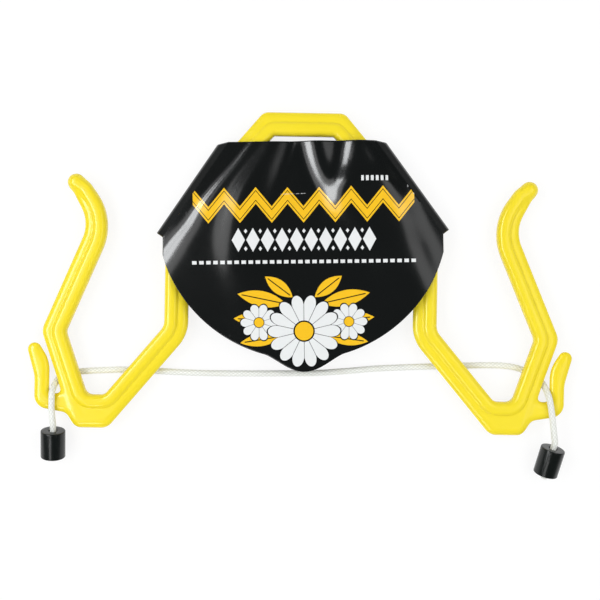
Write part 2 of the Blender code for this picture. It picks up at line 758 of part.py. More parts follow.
def make_card(parts):
    """The sleeve in one loop, open above and below, and the front panel's apron under it."""
    shape = bmesh.new()
    rows = []
    for step in range(CARD_SLEEVE_ROWS + 1):
        rows.append([shape.verts.new(spot) for spot in card_sleeve_row(step / CARD_SLEEVE_ROWS)])
    for upper, lower in zip(rows[:-1], rows[1:]):
        for index in range(len(upper)):
            after = (index + 1) % len(upper)
            shape.faces.new((upper[index], lower[index], lower[after], upper[after]))
    above = rows[-1][: CARD_COLUMNS + 1]
    crease_bottom = card_lines()[3]
    across = np.linspace(-1, 1, CARD_COLUMNS + 1)
    edge = card_lower_edge(crease_bottom[0])
    for step in range(1, CARD_APRON_ROWS + 1):
        share = step / CARD_APRON_ROWS
        below = []
        for s, (low_x, low_y) in zip(across, edge):
            x = s * crease_bottom[0] * (1 - share) + low_x * share
            y = crease_bottom[1] * (1 - share) + low_y * share
            below.append(shape.verts.new(card_spot(x, y, card_front_z(x / crease_bottom[0]))))
        for index in range(CARD_COLUMNS):
            shape.faces.new((above[index], below[index], below[index + 1], above[index + 1]))
        above = below
    mesh = bpy.data.meshes.new("header_card")
    shape.to_mesh(mesh)
    shape.free()
    card = place("header_card", mesh, parts, material("card", CARD_BLACK, 0.2))
    wall = card.modifiers.new("thickness", "SOLIDIFY")
    wall.thickness = CARD_THICKNESS
    wall.offset = -1.0
    return card


def make_cord(parts):
    """The cord from end to end, its two stoppers and its knots."""
    white = material("white cord", WHITE, 0.8)
    black = material("black plastic", BLACK, 0.35)
    run = [(x, BOTTOM + rise, CORD_Z) for x, rise in RUN_ROUTE]
    run = smooth_curve(run, 2 * CORD_DIAMETER)
    first = run[0] + TOUCH_GAP * unit(run[1] - run[0])
    last = run[-1] + TOUCH_GAP * unit(run[-2] - run[-1])
    cord_tube("cord_run", np.vstack([[first], run[1:-1], [last]]), parts, white)
    sides = [
        ("left", LEFT_BEND_ROUTE, LEFT_TAIL_START, LEFT_STOPPER_TOP, LEFT_STOPPER_YAW, LEFT_CORD_END),
        ("right", RIGHT_BEND_ROUTE, RIGHT_TAIL_START, RIGHT_STOPPER_TOP, RIGHT_STOPPER_YAW, RIGHT_CORD_END),
    ]
    for side, bend_route, start, top_spot, yaw, end_length in sides:
        cord_tube("cord_bend_" + side, smooth_curve(bend_points(bend_route), CORD_RADIUS), parts, white)
        tail = tail_points(start, top_spot, yaw)
        cord_tube("cord_tail_" + side, tail, parts, white, domed_start=True)
        top = stopper_top(top_spot)
        axis = stopper_axis(yaw)
        turned_object("stopper_" + side, stopper_profile(), STOPPER_STEPS, top, axis, parts, black)
        knot = knot_profile(end_length)
        turned_object("cord_knot_" + side, knot, STOPPER_STEPS // 2, top, axis, parts, white)


def main():
    """Build every piece."""
    clear_scene()
    parts = collection("sheep_restrainer")
    cutters = collection("cutters")
    make_yoke(parts, cutters)
    make_card(parts)
    make_cord(parts)


main()
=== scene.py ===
"""Looks of a sheep restrainer: a glossy yellow moulded yoke, a white braided cord with black stoppers and
a glossy black card sleeve.

The pieces are surfaces worked out with numpy, in metres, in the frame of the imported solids. X runs across
the yoke, +Y points to its neck arch and +Z is up from the ground that it lies on.
"""

import math

import bmesh
import bpy
import numpy as np
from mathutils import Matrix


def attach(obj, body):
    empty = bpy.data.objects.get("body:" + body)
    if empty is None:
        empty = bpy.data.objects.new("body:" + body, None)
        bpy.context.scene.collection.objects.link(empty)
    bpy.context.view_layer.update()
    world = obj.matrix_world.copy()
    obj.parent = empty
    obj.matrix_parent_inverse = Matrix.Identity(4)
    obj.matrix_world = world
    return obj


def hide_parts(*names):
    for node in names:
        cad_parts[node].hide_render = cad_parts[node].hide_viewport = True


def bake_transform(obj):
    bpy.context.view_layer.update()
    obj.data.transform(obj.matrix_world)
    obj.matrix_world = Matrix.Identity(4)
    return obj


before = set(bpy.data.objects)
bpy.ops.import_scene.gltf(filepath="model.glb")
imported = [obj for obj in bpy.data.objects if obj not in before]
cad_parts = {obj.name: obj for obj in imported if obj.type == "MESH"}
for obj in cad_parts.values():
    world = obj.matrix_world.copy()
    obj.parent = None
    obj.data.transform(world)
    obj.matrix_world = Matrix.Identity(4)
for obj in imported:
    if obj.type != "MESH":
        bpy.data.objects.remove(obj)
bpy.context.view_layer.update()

# The yoke. Its outline is that of the solids.
TOP = 0.15075
BOTTOM = -0.15075
BAR_WIDTH = 0.0226
LEG_WIDTH = 0.0220
BEAD_WIDTH = 0.0140
BEAD_THICKNESS = 0.015
BEAD_ROUND = 0.0046
BEAD_CROWN = 0.0013
BAR_PLATE_THICKNESS = 0.0094
BAR_PLATE_RIM = 0.0072
TAB_THICKNESS = 0.0078
TAB_RIM = 0.0068
GROOVE_FILLET = 0.0007
TAB_FILLET = 0.0015
YOKE_MID_Z = 0.01382
TIP_RADIUS = 0.0070
TIP_CENTRE = (0.2144, BOTTOM + 0.2320)

# The slot side of the right half of the bar: the arch's top, its corner, the shoulder, the bend, the
# two ends of the slot's floor, the kink, the waist and the lean of the tip.
SLOT_SIDE = np.array([
    (0.0, TOP),
    (0.0383, TOP),
    (0.1288, TOP - 0.1064),
    (0.1288, BOTTOM + 0.0974),
    (0.1840, BOTTOM + 0.0316),
    (0.2008, BOTTOM + 0.0316),
    (0.2213, BOTTOM + 0.0906),
    (0.1768, BOTTOM + 0.1960),
    (0.2005, BOTTOM + 0.2312),
])

# The cord and its stoppers.
CORD_DIAMETER = 0.006
CORD_Z = 0.00302
CORD_OVER_TAB_Z = 0.02112
STOPPER_DIAMETER = 0.0230
STOPPER_LENGTH = 0.0265
STOPPER_BORE = 0.0080
STOPPER_TILT = math.radians(14.3)
KNOT_DIAMETER = 0.0126
KNOT_LENGTH = 0.0095
BRAID_STRANDS = 12
BRAID_PITCH = 0.0040
BRAID_DEPTH = 0.00022
CORD_SPACING = 0.0006
MERGE_DISTANCE = 0.000002

# The card sleeve, before its skew.
CARD_THICKNESS = 0.0006
CARD_FOLD_TOP = np.array([0.0802, TOP - 0.0298])
CARD_FOLD_BOTTOM = np.array([0.1383, TOP - 0.1122])
CARD_TOP_Y = TOP - 0.0280
CARD_SPINE_RUN = 0.0080
CARD_CURVE_CENTRE_Y = TOP - 0.0957
CARD_CURVE_SIDE_DEPTH = 0.0378
CARD_LOBE_HALF = 0.0370
CARD_LOBE_DEPTH = 0.0116
CARD_CENTRE_X = -0.0005
CARD_SKEW = math.radians(1.7)
CARD_CREASE_Z = 0.02222
CARD_BACK_Z = 0.00542

# The soft steps in the card's front, in its own flat frame. Each has rows of the height up the card, the
# place across it, the half-width of the bend and the rise to its right.
CARD_STEPS = (
    (
        (0.1230, -0.0477, 0.0019, 0.0013),
        (0.1035, -0.0629, 0.0022, 0.0015),
        (0.0794, -0.0838, 0.0028, 0.0019),
        (0.0627, -0.0971, 0.0036, 0.0024),
        (0.0459, -0.1081, 0.0048, 0.0030),
        (0.0330, -0.1186, 0.0055, 0.0034),
        (0.0153, -0.1317, 0.0064, 0.0038),
        (-0.0200, -0.1605, 0.0066, 0.0038),
        (-0.1000, -0.2205, 0.0066, 0.0028),
    ),
    (
        (0.1230, -0.0440, 0.0040, 0.0000),
        (0.0794, -0.0790, 0.0045, 0.0002),
        (0.0627, -0.0905, 0.0050, 0.0005),
        (0.0459, -0.1000, 0.0058, 0.0010),
        (0.0330, -0.1090, 0.0064, 0.0014),
        (0.0153, -0.1205, 0.0076, 0.0018),
        (-0.0200, -0.1480, 0.0080, 0.0018),
        (-0.1000, -0.2130, 0.0080, 0.0014),
    ),
    (
        (0.1250, -0.0310, 0.0060, 0.0027),
        (0.1145, -0.0375, 0.0060, 0.0029),
        (0.0773, -0.0632, 0.0070, 0.0034),
        (0.0540, -0.0719, 0.0085, 0.0037),
        (0.0212, -0.0760, 0.0105, 0.0032),
        (-0.0163, -0.0689, 0.0140, 0.0020),
        (-0.0600, -0.0550, 0.0180, 0.0005),
        (-0.1000, -0.0400, 0.0200, 0.0000),
    ),
    (
        (0.1250, -0.0170, 0.0120, -0.0036),
        (0.0800, -0.0300, 0.0130, -0.0042),
        (0.0400, -0.0330, 0.0160, -0.0030),
        (0.0000, -0.0300, 0.0200, -0.0012),
        (-0.0500, -0.0300, 0.0220, -0.0002),
        (-0.1000, -0.0300, 0.0220, 0.0000),
    ),
    (
        (0.1250, -0.0060, 0.0032, 0.0017),
        (0.1048, -0.0123, 0.0036, 0.0018),
        (0.0899, -0.0181, 0.0044, 0.0014),
        (0.0650, -0.0270, 0.0064, 0.0010),
        (0.0350, -0.0350, 0.0090, 0.0002),
        (-0.1000, -0.0400, 0.0100, 0.0000),
    ),
    (
        (0.1250, 0.0046, 0.0074, 0.0075),
        (0.1046, 0.0092, 0.0076, 0.0077),
        (0.0857, 0.0165, 0.0082, 0.0078),
        (0.0688, 0.0257, 0.0100, 0.0068),
        (0.0480, 0.0395, 0.0130, 0.0060),
        (0.0291, 0.0533, 0.0150, 0.0053),
        (0.0009, 0.0699, 0.0180, 0.0042),
        (-0.0274, 0.0827, 0.0200, 0.0028),
        (-0.0600, 0.0960, 0.0220, 0.0012),
        (-0.1000, 0.1100, 0.0240, 0.0000),
    ),
    (
        (0.1250, 0.0245, 0.0095, -0.0034),
        (0.1000, 0.0262, 0.0090, -0.0024),
        (0.0800, 0.0275, 0.0085, 0.0000),
        (0.0600, 0.0290, 0.0080, 0.0000),
        (-0.1000, 0.0290, 0.0080, 0.0000),
    ),
    (
        (0.1250, 0.0444, 0.0072, 0.0066),
        (0.1042, 0.0401, 0.0074, 0.0066),
        (0.0855, 0.0352, 0.0074, 0.0064),
        (0.0687, 0.0294, 0.0085, 0.0032),
        (0.0450, 0.0230, 0.0100, 0.0004),
        (0.0200, 0.0230, 0.0100, 0.0000),
        (-0.1000, 0.0230, 0.0100, 0.0000),
    ),
    (
        (0.1250, 0.0040, 0.0400, -0.0080),
        (0.0857, 0.0080, 0.0420, -0.0085),
        (0.0688, 0.0100, 0.0450, -0.0075),
        (0.0480, 0.0140, 0.0500, -0.0060),
        (0.0200, 0.0200, 0.0550, -0.0042),
        (-0.0200, 0.0300, 0.0600, -0.0026),
        (-0.1000, 0.0300, 0.0600, 0.0000),
    ),
)

# The last step, down to the right crease. Its rows are like the others, and it falls by its whole share.
CARD_FALL = (
    (0.1250, 0.0640, 0.0080, 1.0),
    (0.1161, 0.0694, 0.0080, 1.0),
    (0.0963, 0.0818, 0.0090, 1.0),
    (0.0502, 0.1030, 0.0115, 1.0),
    (0.0238, 0.1130, 0.0130, 1.0),
    (0.0078, 0.1190, 0.0140, 1.0),
    (-0.0300, 0.1360, 0.0150, 1.0),
    (-0.1000, 0.1700, 0.0150, 1.0),
)
CARD_LEAST_RISE = 0.0001
CARD_SHARP_ANGLE = math.radians(28)

# Colours, as red, green, blue and alpha.
YELLOW_DEEP = (0.93, 0.725, 0.016, 1.0)
YELLOW_PALE = (0.965, 0.800, 0.034, 1.0)
# Painted shade: the grey that the cord's braid takes in the valleys between its strands.
CORD_VALLEY_SHADE = (0.72, 0.74, 0.67, 1.0)
CORD_WHITE = (0.94, 0.955, 0.92, 1.0)
CORD_DUST = (0.78, 0.77, 0.66, 1.0)
STOPPER_BLACK = (0.0055, 0.0075, 0.0070, 1.0)
STOPPER_DUST = (0.08, 0.08, 0.08, 1.0)
INK_YELLOW = (0.96, 0.56, 0.015, 1.0)
INK_WHITE = (0.84, 0.86, 0.86, 1.0)
INK_BLACK = (0.0050, 0.0062, 0.0062, 1.0)
BARE_CARD = (0.80, 0.82, 0.82, 1.0)
RUBBED_CARD = (0.20, 0.21, 0.21, 1.0)
BACK_DARK = (0.012, 0.013, 0.013, 1.0)
BACK_PALE = (0.034, 0.035, 0.034, 1.0)
FLOOR_WHITE = (0.86, 0.86, 0.86, 1.0)
PLAIN_WHITE = (1.0, 1.0, 1.0, 1.0)

# The camera: its place, the small tilt of the photograph, and its lens in millimetres.
CAMERA_PLACE = (-0.00085, -0.02645, 1.0)
CAMERA_TILT = math.radians(1.05)
CAMERA_LENS = 62.5

# Half the width of the mould's parting line, and the drawings on the card: each row's centre, period,
# and half a dash, its height and the row; each leaf's base, tip and half-width; and each daisy's centre,
# radius and number of petals.
PARTING_LINE_HALF = 0.00020
ZIGZAG_PERIOD = 0.0297
ZIGZAG_RISE = 0.0360
GEM_CENTRE = (0.0009, 0.0301)
GEM_PERIOD = 0.0136
DASH_ROWS = (
    ((0.0006, 0.0094), 0.0066, 0.0021, 0.0016, 0.1065),
    ((0.0674, 0.0868), 0.0046, 0.0013, 0.0024, 0.0126),
)
LEAVES = (
    ((0.016, -0.030), (0.062, -0.020), 0.0075),
    ((0.022, -0.045), (0.066, -0.043), 0.0070),
    ((0.020, -0.060), (0.060, -0.066), 0.0062),
    ((0.010, -0.024), (0.036, -0.004), 0.0066),
)
DAISIES = (
    ((-0.042, -0.047), 0.0175, 10),
    ((0.042, -0.047), 0.0175, 10),
    ((0.0, -0.0555), 0.0345, 14),
)

# The lamps: name, place, aim, width, depth, power, colour, and whether reflections and matte surfaces
# show them. The gleam hangs just before the window, so that reflections meet it first.
LAMPS = (
    ("window", (-1.05, 0.16, 1.22), (0.0, 0.10, 0.0), 1.40, 0.90, 8.0, (0.97, 0.985, 1.0), False, True),
    ("gleam", (-1.03, 0.16, 1.197), (0.0, 0.10, 0.0), 1.40, 0.36, 17.0, (0.97, 0.985, 1.0), True, False),
    ("left panel", (-0.64, 0.02, 1.25), (-0.20, 0.0, 0.0), 1.10, 0.42, 2.1, (1.0, 1.0, 1.0), True, True),
    ("right panel", (0.76, 0.02, 1.25), (0.20, 0.0, 0.0), 1.10, 0.48, 1.9, (1.0, 1.0, 1.0), True, True),
    ("front box", (-0.60, -1.10, 1.20), (-0.20, -0.16, 0.0), 0.44, 0.36, 3.4, (1.0, 1.0, 1.0), True, True),
    ("broad lamp", (0.95, 0.10, 1.15), (0.0, 0.0, 0.0), 1.20, 0.90, 4.4, (0.98, 0.99, 1.0), False, True),
)


# Meshes


def mesh_object(name, points, faces, uv=None):
    """An object of the points, with quads or polygons given as index arrays, shaded smooth."""
    data = bpy.data.meshes.new(name)
    data.from_pydata(points.tolist(), [], [list(face) for face in faces])
    data.shade_smooth()
    if uv is not None:
        layer = data.uv_layers.new(name="surface")
        corners = np.empty(len(data.loops), dtype=np.int32)
        data.loops.foreach_get("vertex_index", corners)
        layer.data.foreach_set("uv", uv[corners].ravel())
    made = bpy.data.objects.new(name, data)
    bpy.context.scene.collection.objects.link(made)
    return made


def lattice_faces(rows, columns, wrap_rows=False, wrap_columns=False, start=0):
    """Quads between neighbours of a rows by columns lattice of points."""
    row = np.arange(rows if wrap_rows else rows - 1)[:, None]
    column = np.arange(columns if wrap_columns else columns - 1)[None, :]
    below = (row + 1) % rows
    after = (column + 1) % columns
    quads = np.stack([
        row * columns + column,
        row * columns + after,
        below * columns + after,
        below * columns + column,
    ], axis=-1)
    return (quads + start).reshape(-1, 4)


def unit(vectors):
    """The vectors at length one."""
    return vectors / np.linalg.norm(vectors, axis=-1, keepdims=True)


def travelled_along(path):
    """The distance along a path to each of its points."""
    return np.concatenate([[0.0], np.cumsum(np.linalg.norm(np.diff(path, axis=0), axis=1))])


def tidy(thing, distance, closed=True):
    """Merge points that coincide, and turn a closed piece's faces outwards."""
    shape = bmesh.new()
    shape.from_mesh(thing.data)
    bmesh.ops.remove_doubles(shape, verts=shape.verts, dist=distance)
    if closed:
        bmesh.ops.recalc_face_normals(shape, faces=shape.faces)
    shape.to_mesh(thing.data)
    shape.free()
    return thing


def hand_over(piece, nodes, body):
    """Hide the nodes that a piece stands for and hang the piece on the body that carries it."""
    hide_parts(*nodes)
    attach(piece, body)


# Paths


def right_of(direction):
    """The direction a quarter turn clockwise."""
    return np.array([direction[1], -direction[0]])


def meet(point_a, along_a, point_b, along_b):
    """Where two lines in the plane cross."""
    steps = np.linalg.solve(np.column_stack([along_a, -np.asarray(along_b)]), np.subtract(point_b, point_a))
    return np.asarray(point_a) + steps[0] * np.asarray(along_a)


def inset_corner(edge, index, inset):
    """The corner of two edge lines moved to their right by the inset."""
    along_in = unit(edge[index] - edge[index - 1])
    along_out = unit(edge[index + 1] - edge[index])
    start = edge[index] + inset * right_of(along_in)
    end = edge[index] + inset * right_of(along_out)
    return meet(start, along_in, end, along_out)


def fillet(before, corner, after, radius, steps):
    """An arc that touches both sides of a corner.

    Each point is the centre plus the first spoke turned by its share of the corner's turn.
    """
    along_in = unit(corner - before)
    along_out = unit(after - corner)
    turn = math.atan2(along_in[0] * along_out[1] - along_in[1] * along_out[0], along_in @ along_out)
    start = corner - radius * math.tan(abs(turn) / 2) * along_in
    spoke = math.copysign(radius, turn) * right_of(along_in)
    angles = turn * np.linspace(0, 1, steps)
    turned = np.column_stack([
        spoke[0] * np.cos(angles) - spoke[1] * np.sin(angles),
        spoke[0] * np.sin(angles) + spoke[1] * np.cos(angles),
    ])
    return start - spoke + turned


def rounded_path(corners, steps=16):
    """A path through (x, y, radius) corners, where a radius of 0 keeps the point as it is."""
    spots = np.array([corner[:2] for corner in corners])
    pieces = []
    for index, (x, y, radius) in enumerate(corners):
        if radius > 0:
            pieces.append(fillet(spots[index - 1], spots[index], spots[index + 1], radius, steps))
        else:
            pieces.append(spots[index : index + 1])
    return np.vstack(pieces)


def tangent_arc(before, centre, radius, after, steps):
    """Clockwise round a circle from the tangent of one point to that of another."""
    to_before = np.subtract(before, centre)
    to_after = np.subtract(after, centre)
    start = math.atan2(to_before[1], to_before[0]) - math.acos(radius / math.hypot(*to_before))
    end = math.atan2(to_after[1], to_after[0]) + math.acos(radius / math.hypot(*to_after))
    angles = start - ((start - end) % (2 * math.pi)) * np.linspace(0, 1, steps)
    return np.asarray(centre) + radius * np.column_stack([np.cos(angles), np.sin(angles)])


def mirrored(path):
    """The path with every x changed in sign, in the opposite order."""
    return path[::-1] * np.array([-1.0, 1.0])


def spline(points, spacing):
    """Points at even spacing along a centripetal Catmull-Rom curve through the given points."""
    points = np.asarray(points, dtype=float)
    ends = np.vstack([2 * points[0] - points[1], points, 2 * points[-1] - points[-2]])
    p0, p1, p2, p3 = ends[:-3], ends[1:-2], ends[2:-1], ends[3:]
    t1 = np.linalg.norm(p1 - p0, axis=1)[:, None, None] ** 0.5
    t2 = t1 + np.linalg.norm(p2 - p1, axis=1)[:, None, None] ** 0.5
    t3 = t2 + np.linalg.norm(p3 - p2, axis=1)[:, None, None] ** 0.5
    t = t1 + (t2 - t1) * np.linspace(0, 1, 40, endpoint=False)[None, :, None]
    p0, p1, p2, p3 = (p[:, None, :] for p in (p0, p1, p2, p3))
    a1 = (t1 - t) / t1 * p0 + t / t1 * p1
    a2 = (t2 - t) / (t2 - t1) * p1 + (t - t1) / (t2 - t1) * p2
    a3 = (t3 - t) / (t3 - t2) * p2 + (t - t2) / (t3 - t2) * p3
    b1 = (t2 - t) / t2 * a1 + t / t2 * a2
    b2 = (t3 - t) / (t3 - t1) * a2 + (t - t1) / (t3 - t1) * a3
    fine = np.vstack([((t2 - t) / (t2 - t1) * b1 + (t - t1) / (t2 - t1) * b2).reshape(-1, 3), points[-1:]])
    travelled = travelled_along(fine)
    wanted = np.linspace(0, travelled[-1], max(2, round(travelled[-1] / spacing) + 1))
    return np.column_stack([np.interp(wanted, travelled, fine[:, axis]) for axis in range(3)])


# Materials


class Signal:
    """A number on a node's output. Sums, products and comparisons of signals add Math nodes."""

    def __init__(self, tree, out):
        self.tree = tree
        self.out = out

    def math(self, operation, *others):
        """One Math node on this signal and the others, which may be plain numbers."""
        node = self.tree.nodes.new("ShaderNodeMath")
        node.operation = operation
        for socket, value in zip(node.inputs, (self, *others)):
            if isinstance(value, Signal):
                self.tree.links.new(value.out, socket)
            else:
                socket.default_value = value
        return Signal(self.tree, node.outputs[0])

    def flipped(self, operation, other):
        """A Math node with the plain number first."""
        node = self.tree.nodes.new("ShaderNodeMath")
        node.operation = operation
        node.inputs[0].default_value = other
        self.tree.links.new(self.out, node.inputs[1])
        return Signal(self.tree, node.outputs[0])

    def __add__(self, other):
        return self.math("ADD", other)

    def __radd__(self, other):
        return self.math("ADD", other)

    def __sub__(self, other):
        return self.math("SUBTRACT", other)

    def __rsub__(self, other):
        return self.flipped("SUBTRACT", other)

    def __mul__(self, other):
        return self.math("MULTIPLY", other)

    def __rmul__(self, other):
        return self.math("MULTIPLY", other)

    def __truediv__(self, other):
        return self.math("DIVIDE", other)

    def __rtruediv__(self, other):
        return self.flipped("DIVIDE", other)

    def __pow__(self, other):
        return self.math("POWER", other)

    def __abs__(self):
        return self.math("ABSOLUTE")

    def sine(self):
        return self.math("SINE")

    def either(self, other):
        """The larger of the two."""
        return self.math("MAXIMUM", other)

    def both(self, other):
        """The smaller of the two."""
        return self.math("MINIMUM", other)

    def repeat(self, period):
        """The distance to the middle of the nearest repeat."""
        return abs((self / period).math("FRACT") - 0.5) * period

    def under(self, limit, soft=0.0003):
        """1 where the signal is under the limit and 0 over it, with a soft edge."""
        return ((limit - self) / soft + 0.5).math("MINIMUM", 1.0).math("MAXIMUM", 0.0)


class Finish:
    """A material with one Principled shader, whose constants are set on its own sockets."""

    def __init__(self, name, **constants):
        self.material = bpy.data.materials.new(name)
        self.material.use_nodes = True
        self.tree = self.material.node_tree
        self.shader = self.tree.nodes["Principled BSDF"]
        for socket, value in constants.items():
            self.shader.inputs[socket.replace("_", " ")].default_value = value

    def node(self, kind, settings=None, inputs=None, output=0):
        """Any other node: its type, its settings, what goes in and which output is wanted."""
        node = self.tree.nodes.new(kind)
        for key, value in (settings or {}).items():
            setattr(node, key, value)
        for key, value in (inputs or {}).items():
            if isinstance(value, Signal):
                self.tree.links.new(value.out, node.inputs[key])
            else:
                node.inputs[key].default_value = value
        return Signal(self.tree, node.outputs[output])

    def place(self):
        """Object coordinates as a vector."""
        return self.node("ShaderNodeTexCoord", output="Object")

    def surface(self):
        """The piece's own surface coordinates as a vector."""
        return self.node("ShaderNodeUVMap", {"uv_map": "surface"})

    def parts(self, vector):
        """The x, y and z of a vector."""
        first = self.node("ShaderNodeSeparateXYZ", inputs={0: vector})
        outputs = first.out.node.outputs
        return [Signal(self.tree, outputs[index]) for index in range(3)]

    def noise(self, vector, scale, detail=2.0, rough=0.5, stretch=None):
        """A noise between 0 and 1, on coordinates that may be stretched."""
        if stretch is not None:
            vector = self.node("ShaderNodeVectorMath", {"operation": "MULTIPLY"}, {0: vector, 1: stretch})
        return self.node("ShaderNodeTexNoise", inputs={
            "Vector": vector,
            "Scale": scale,
            "Detail": detail,
            "Roughness": rough,
        })

    def mix(self, share, low, high):
        """A colour between two colours."""
        return self.node("ShaderNodeMix", {"data_type": "RGBA"}, {0: share, 6: low, 7: high}, output=2)

    def bump(self, height, distance, strength=1.0):
        """A normal from a height."""
        return self.node("ShaderNodeBump", inputs={
            "Height": height,
            "Distance": distance,
            "Strength": strength,
        })

    def feed(self, socket, signal):
        """Link a signal to a socket of the shader."""
        self.tree.links.new(signal.out, self.shader.inputs[socket])


def yellow_moulding():
    """Glossy yellow plastic: faintly cloudy, rubbed in spots, with ripples and the mould's parting line."""
    finish = Finish("yellow moulding", Specular_IOR_Level=0.5, IOR=1.47, Subsurface_Weight=0.0)
    place = finish.place()
    height = finish.parts(place)[2]
    cloud = finish.noise(place, 14.0, 3.0)
    speck = finish.noise(place, 420.0, 2.0)
    rubbed = (finish.noise(place, 48.0, 3.0, 0.6) - 0.56).either(0.0) * 3.0
    finish.feed("Base Color", finish.mix(cloud, YELLOW_DEEP, YELLOW_PALE))
    finish.feed("Roughness", 0.17 + cloud * 0.09 + rubbed.both(1.0) * 0.14)
    seam = abs(height - YOKE_MID_Z).under(PARTING_LINE_HALF)
    ripple = finish.noise(place, 36.0, 1.0)
    finish.feed("Normal", finish.bump(ripple * 0.30 + speck * 0.03 + seam * 0.35, 0.0004, 0.5))
    return finish.material


def braid_relief(along, around):
    """The height of the braid, 0 to 1, where two families of strands cross in turn.

    The phases p and q grow along the cord and in opposite senses round it. The height is the product
    of the rounded widths of the two strands, so each crossing stands up as a diamond.
    """
    turns = around / (2 * math.pi) * BRAID_STRANDS
    p = along / BRAID_PITCH + turns / 2
    q = along / BRAID_PITCH - turns / 2
    return (np.abs(np.sin(math.pi * p)) * np.abs(np.sin(math.pi * q))) ** 0.6


def braided_cord():
    """White braided cord: soft diamonds with painted shade in the valleys between them, and fine yarn along
    each strand.
    """
    finish = Finish("braided cord", Specular_IOR_Level=0.25, Sheen_Weight=0.25, Sheen_Roughness=0.5)
    along, around, _ = finish.parts(finish.surface())
    p = along / BRAID_PITCH + around * (BRAID_STRANDS / 2)
    q = along / BRAID_PITCH - around * (BRAID_STRANDS / 2)
    diamond = abs((p * math.pi).sine() * (q * math.pi).sine()) ** 0.5
    yarn = (p * (math.pi * 6.0)).sine() * 0.5 + (q * (math.pi * 6.0)).sine() * 0.5
    fuzz = finish.noise(finish.place(), 900.0, 2.0)
    dust = finish.noise(finish.place(), 30.0, 3.0)
    # Painted shade: the base colour goes grey in the valleys between the strands' crossings.
    braid_with_painted_shade = finish.mix(diamond.both(1.0), CORD_VALLEY_SHADE, CORD_WHITE)
    finish.feed("Base Color", finish.mix((dust - 0.52).either(0.0) * 1.4, braid_with_painted_shade, CORD_DUST))
    finish.feed("Roughness", 0.72 + fuzz * 0.2)
    finish.feed("Normal", finish.bump(diamond * 0.4 + yarn * 0.10 + fuzz * 0.3, 0.0004, 0.6))
    return finish.material


def satin_black():
    """Satin black plastic with faint turning lines, a rubbed sheen and dust."""
    finish = Finish("satin black plastic", Specular_IOR_Level=0.42)
    along = finish.parts(finish.surface())[0]
    lines = (along * 9000.0).sine()
    cloud = finish.noise(finish.place(), 180.0, 3.0)
    speck = finish.noise(finish.place(), 900.0, 2.0)
    dust = (speck - 0.66).either(0.0) * 2.0
    finish.feed("Base Color", finish.mix(dust.both(1.0), STOPPER_BLACK, STOPPER_DUST))
    finish.feed("Roughness", 0.19 + cloud * 0.09)
    finish.feed("Normal", finish.bump(lines * 0.10 + cloud * 0.3, 0.00020, 0.5))
    return finish.material


def flower(x, y, centre, radius, petals):
    """A daisy: petals with dark lines between them round a yellow middle. Returns its three masks.

    The petal's reach is the radius times a power of the cosine of the angle times half the count.
    """
    across = x - centre[0]
    up = y - centre[1]
    reach = (across * across + up * up) ** 0.5
    angle = up.math("ARCTAN2", across)
    lobe = abs((angle * (petals / 2.0)).math("COSINE"))
    edge = (lobe ** 0.45) * (radius * 0.36) + radius * 0.62
    body = (reach - edge).under(0.0)
    outline = (reach - edge).under(0.0012)
    gap = (lobe * reach).under(radius * 0.045)
    middle = reach.under(radius * 0.25)
    ring = reach.under(radius * 0.29)
    white = body * (1.0 - gap) * (1.0 - ring)
    return outline, white, middle


def leaf(x, y, base, tip, width):
    """A pointed leaf between two points: its half-width follows a parabola along its length."""
    length = math.dist(base, tip)
    ux = (tip[0] - base[0]) / length
    uy = (tip[1] - base[1]) / length
    along = ((x - base[0]) * ux + (y - base[1]) * uy) / length
    aside = abs((y - base[1]) * ux - (x - base[0]) * uy)
    half = (along * (1.0 - along)).either(0.0) * (4.0 * width) - 0.0002
    vein = aside.under(0.0005) * (aside - half + 0.002).under(0.0)
    return (aside - half).under(0.0), vein


def dash_row(x, y, centre, period, half_dash, half_height, half_row):
    """A row of upright dashes or ticks, evenly repeated along x about the row's centre."""
    aside = x - centre[0]
    inside = aside.repeat(period).under(half_dash) * abs(y - centre[1]).under(half_height)
    return inside * abs(aside).under(half_row)


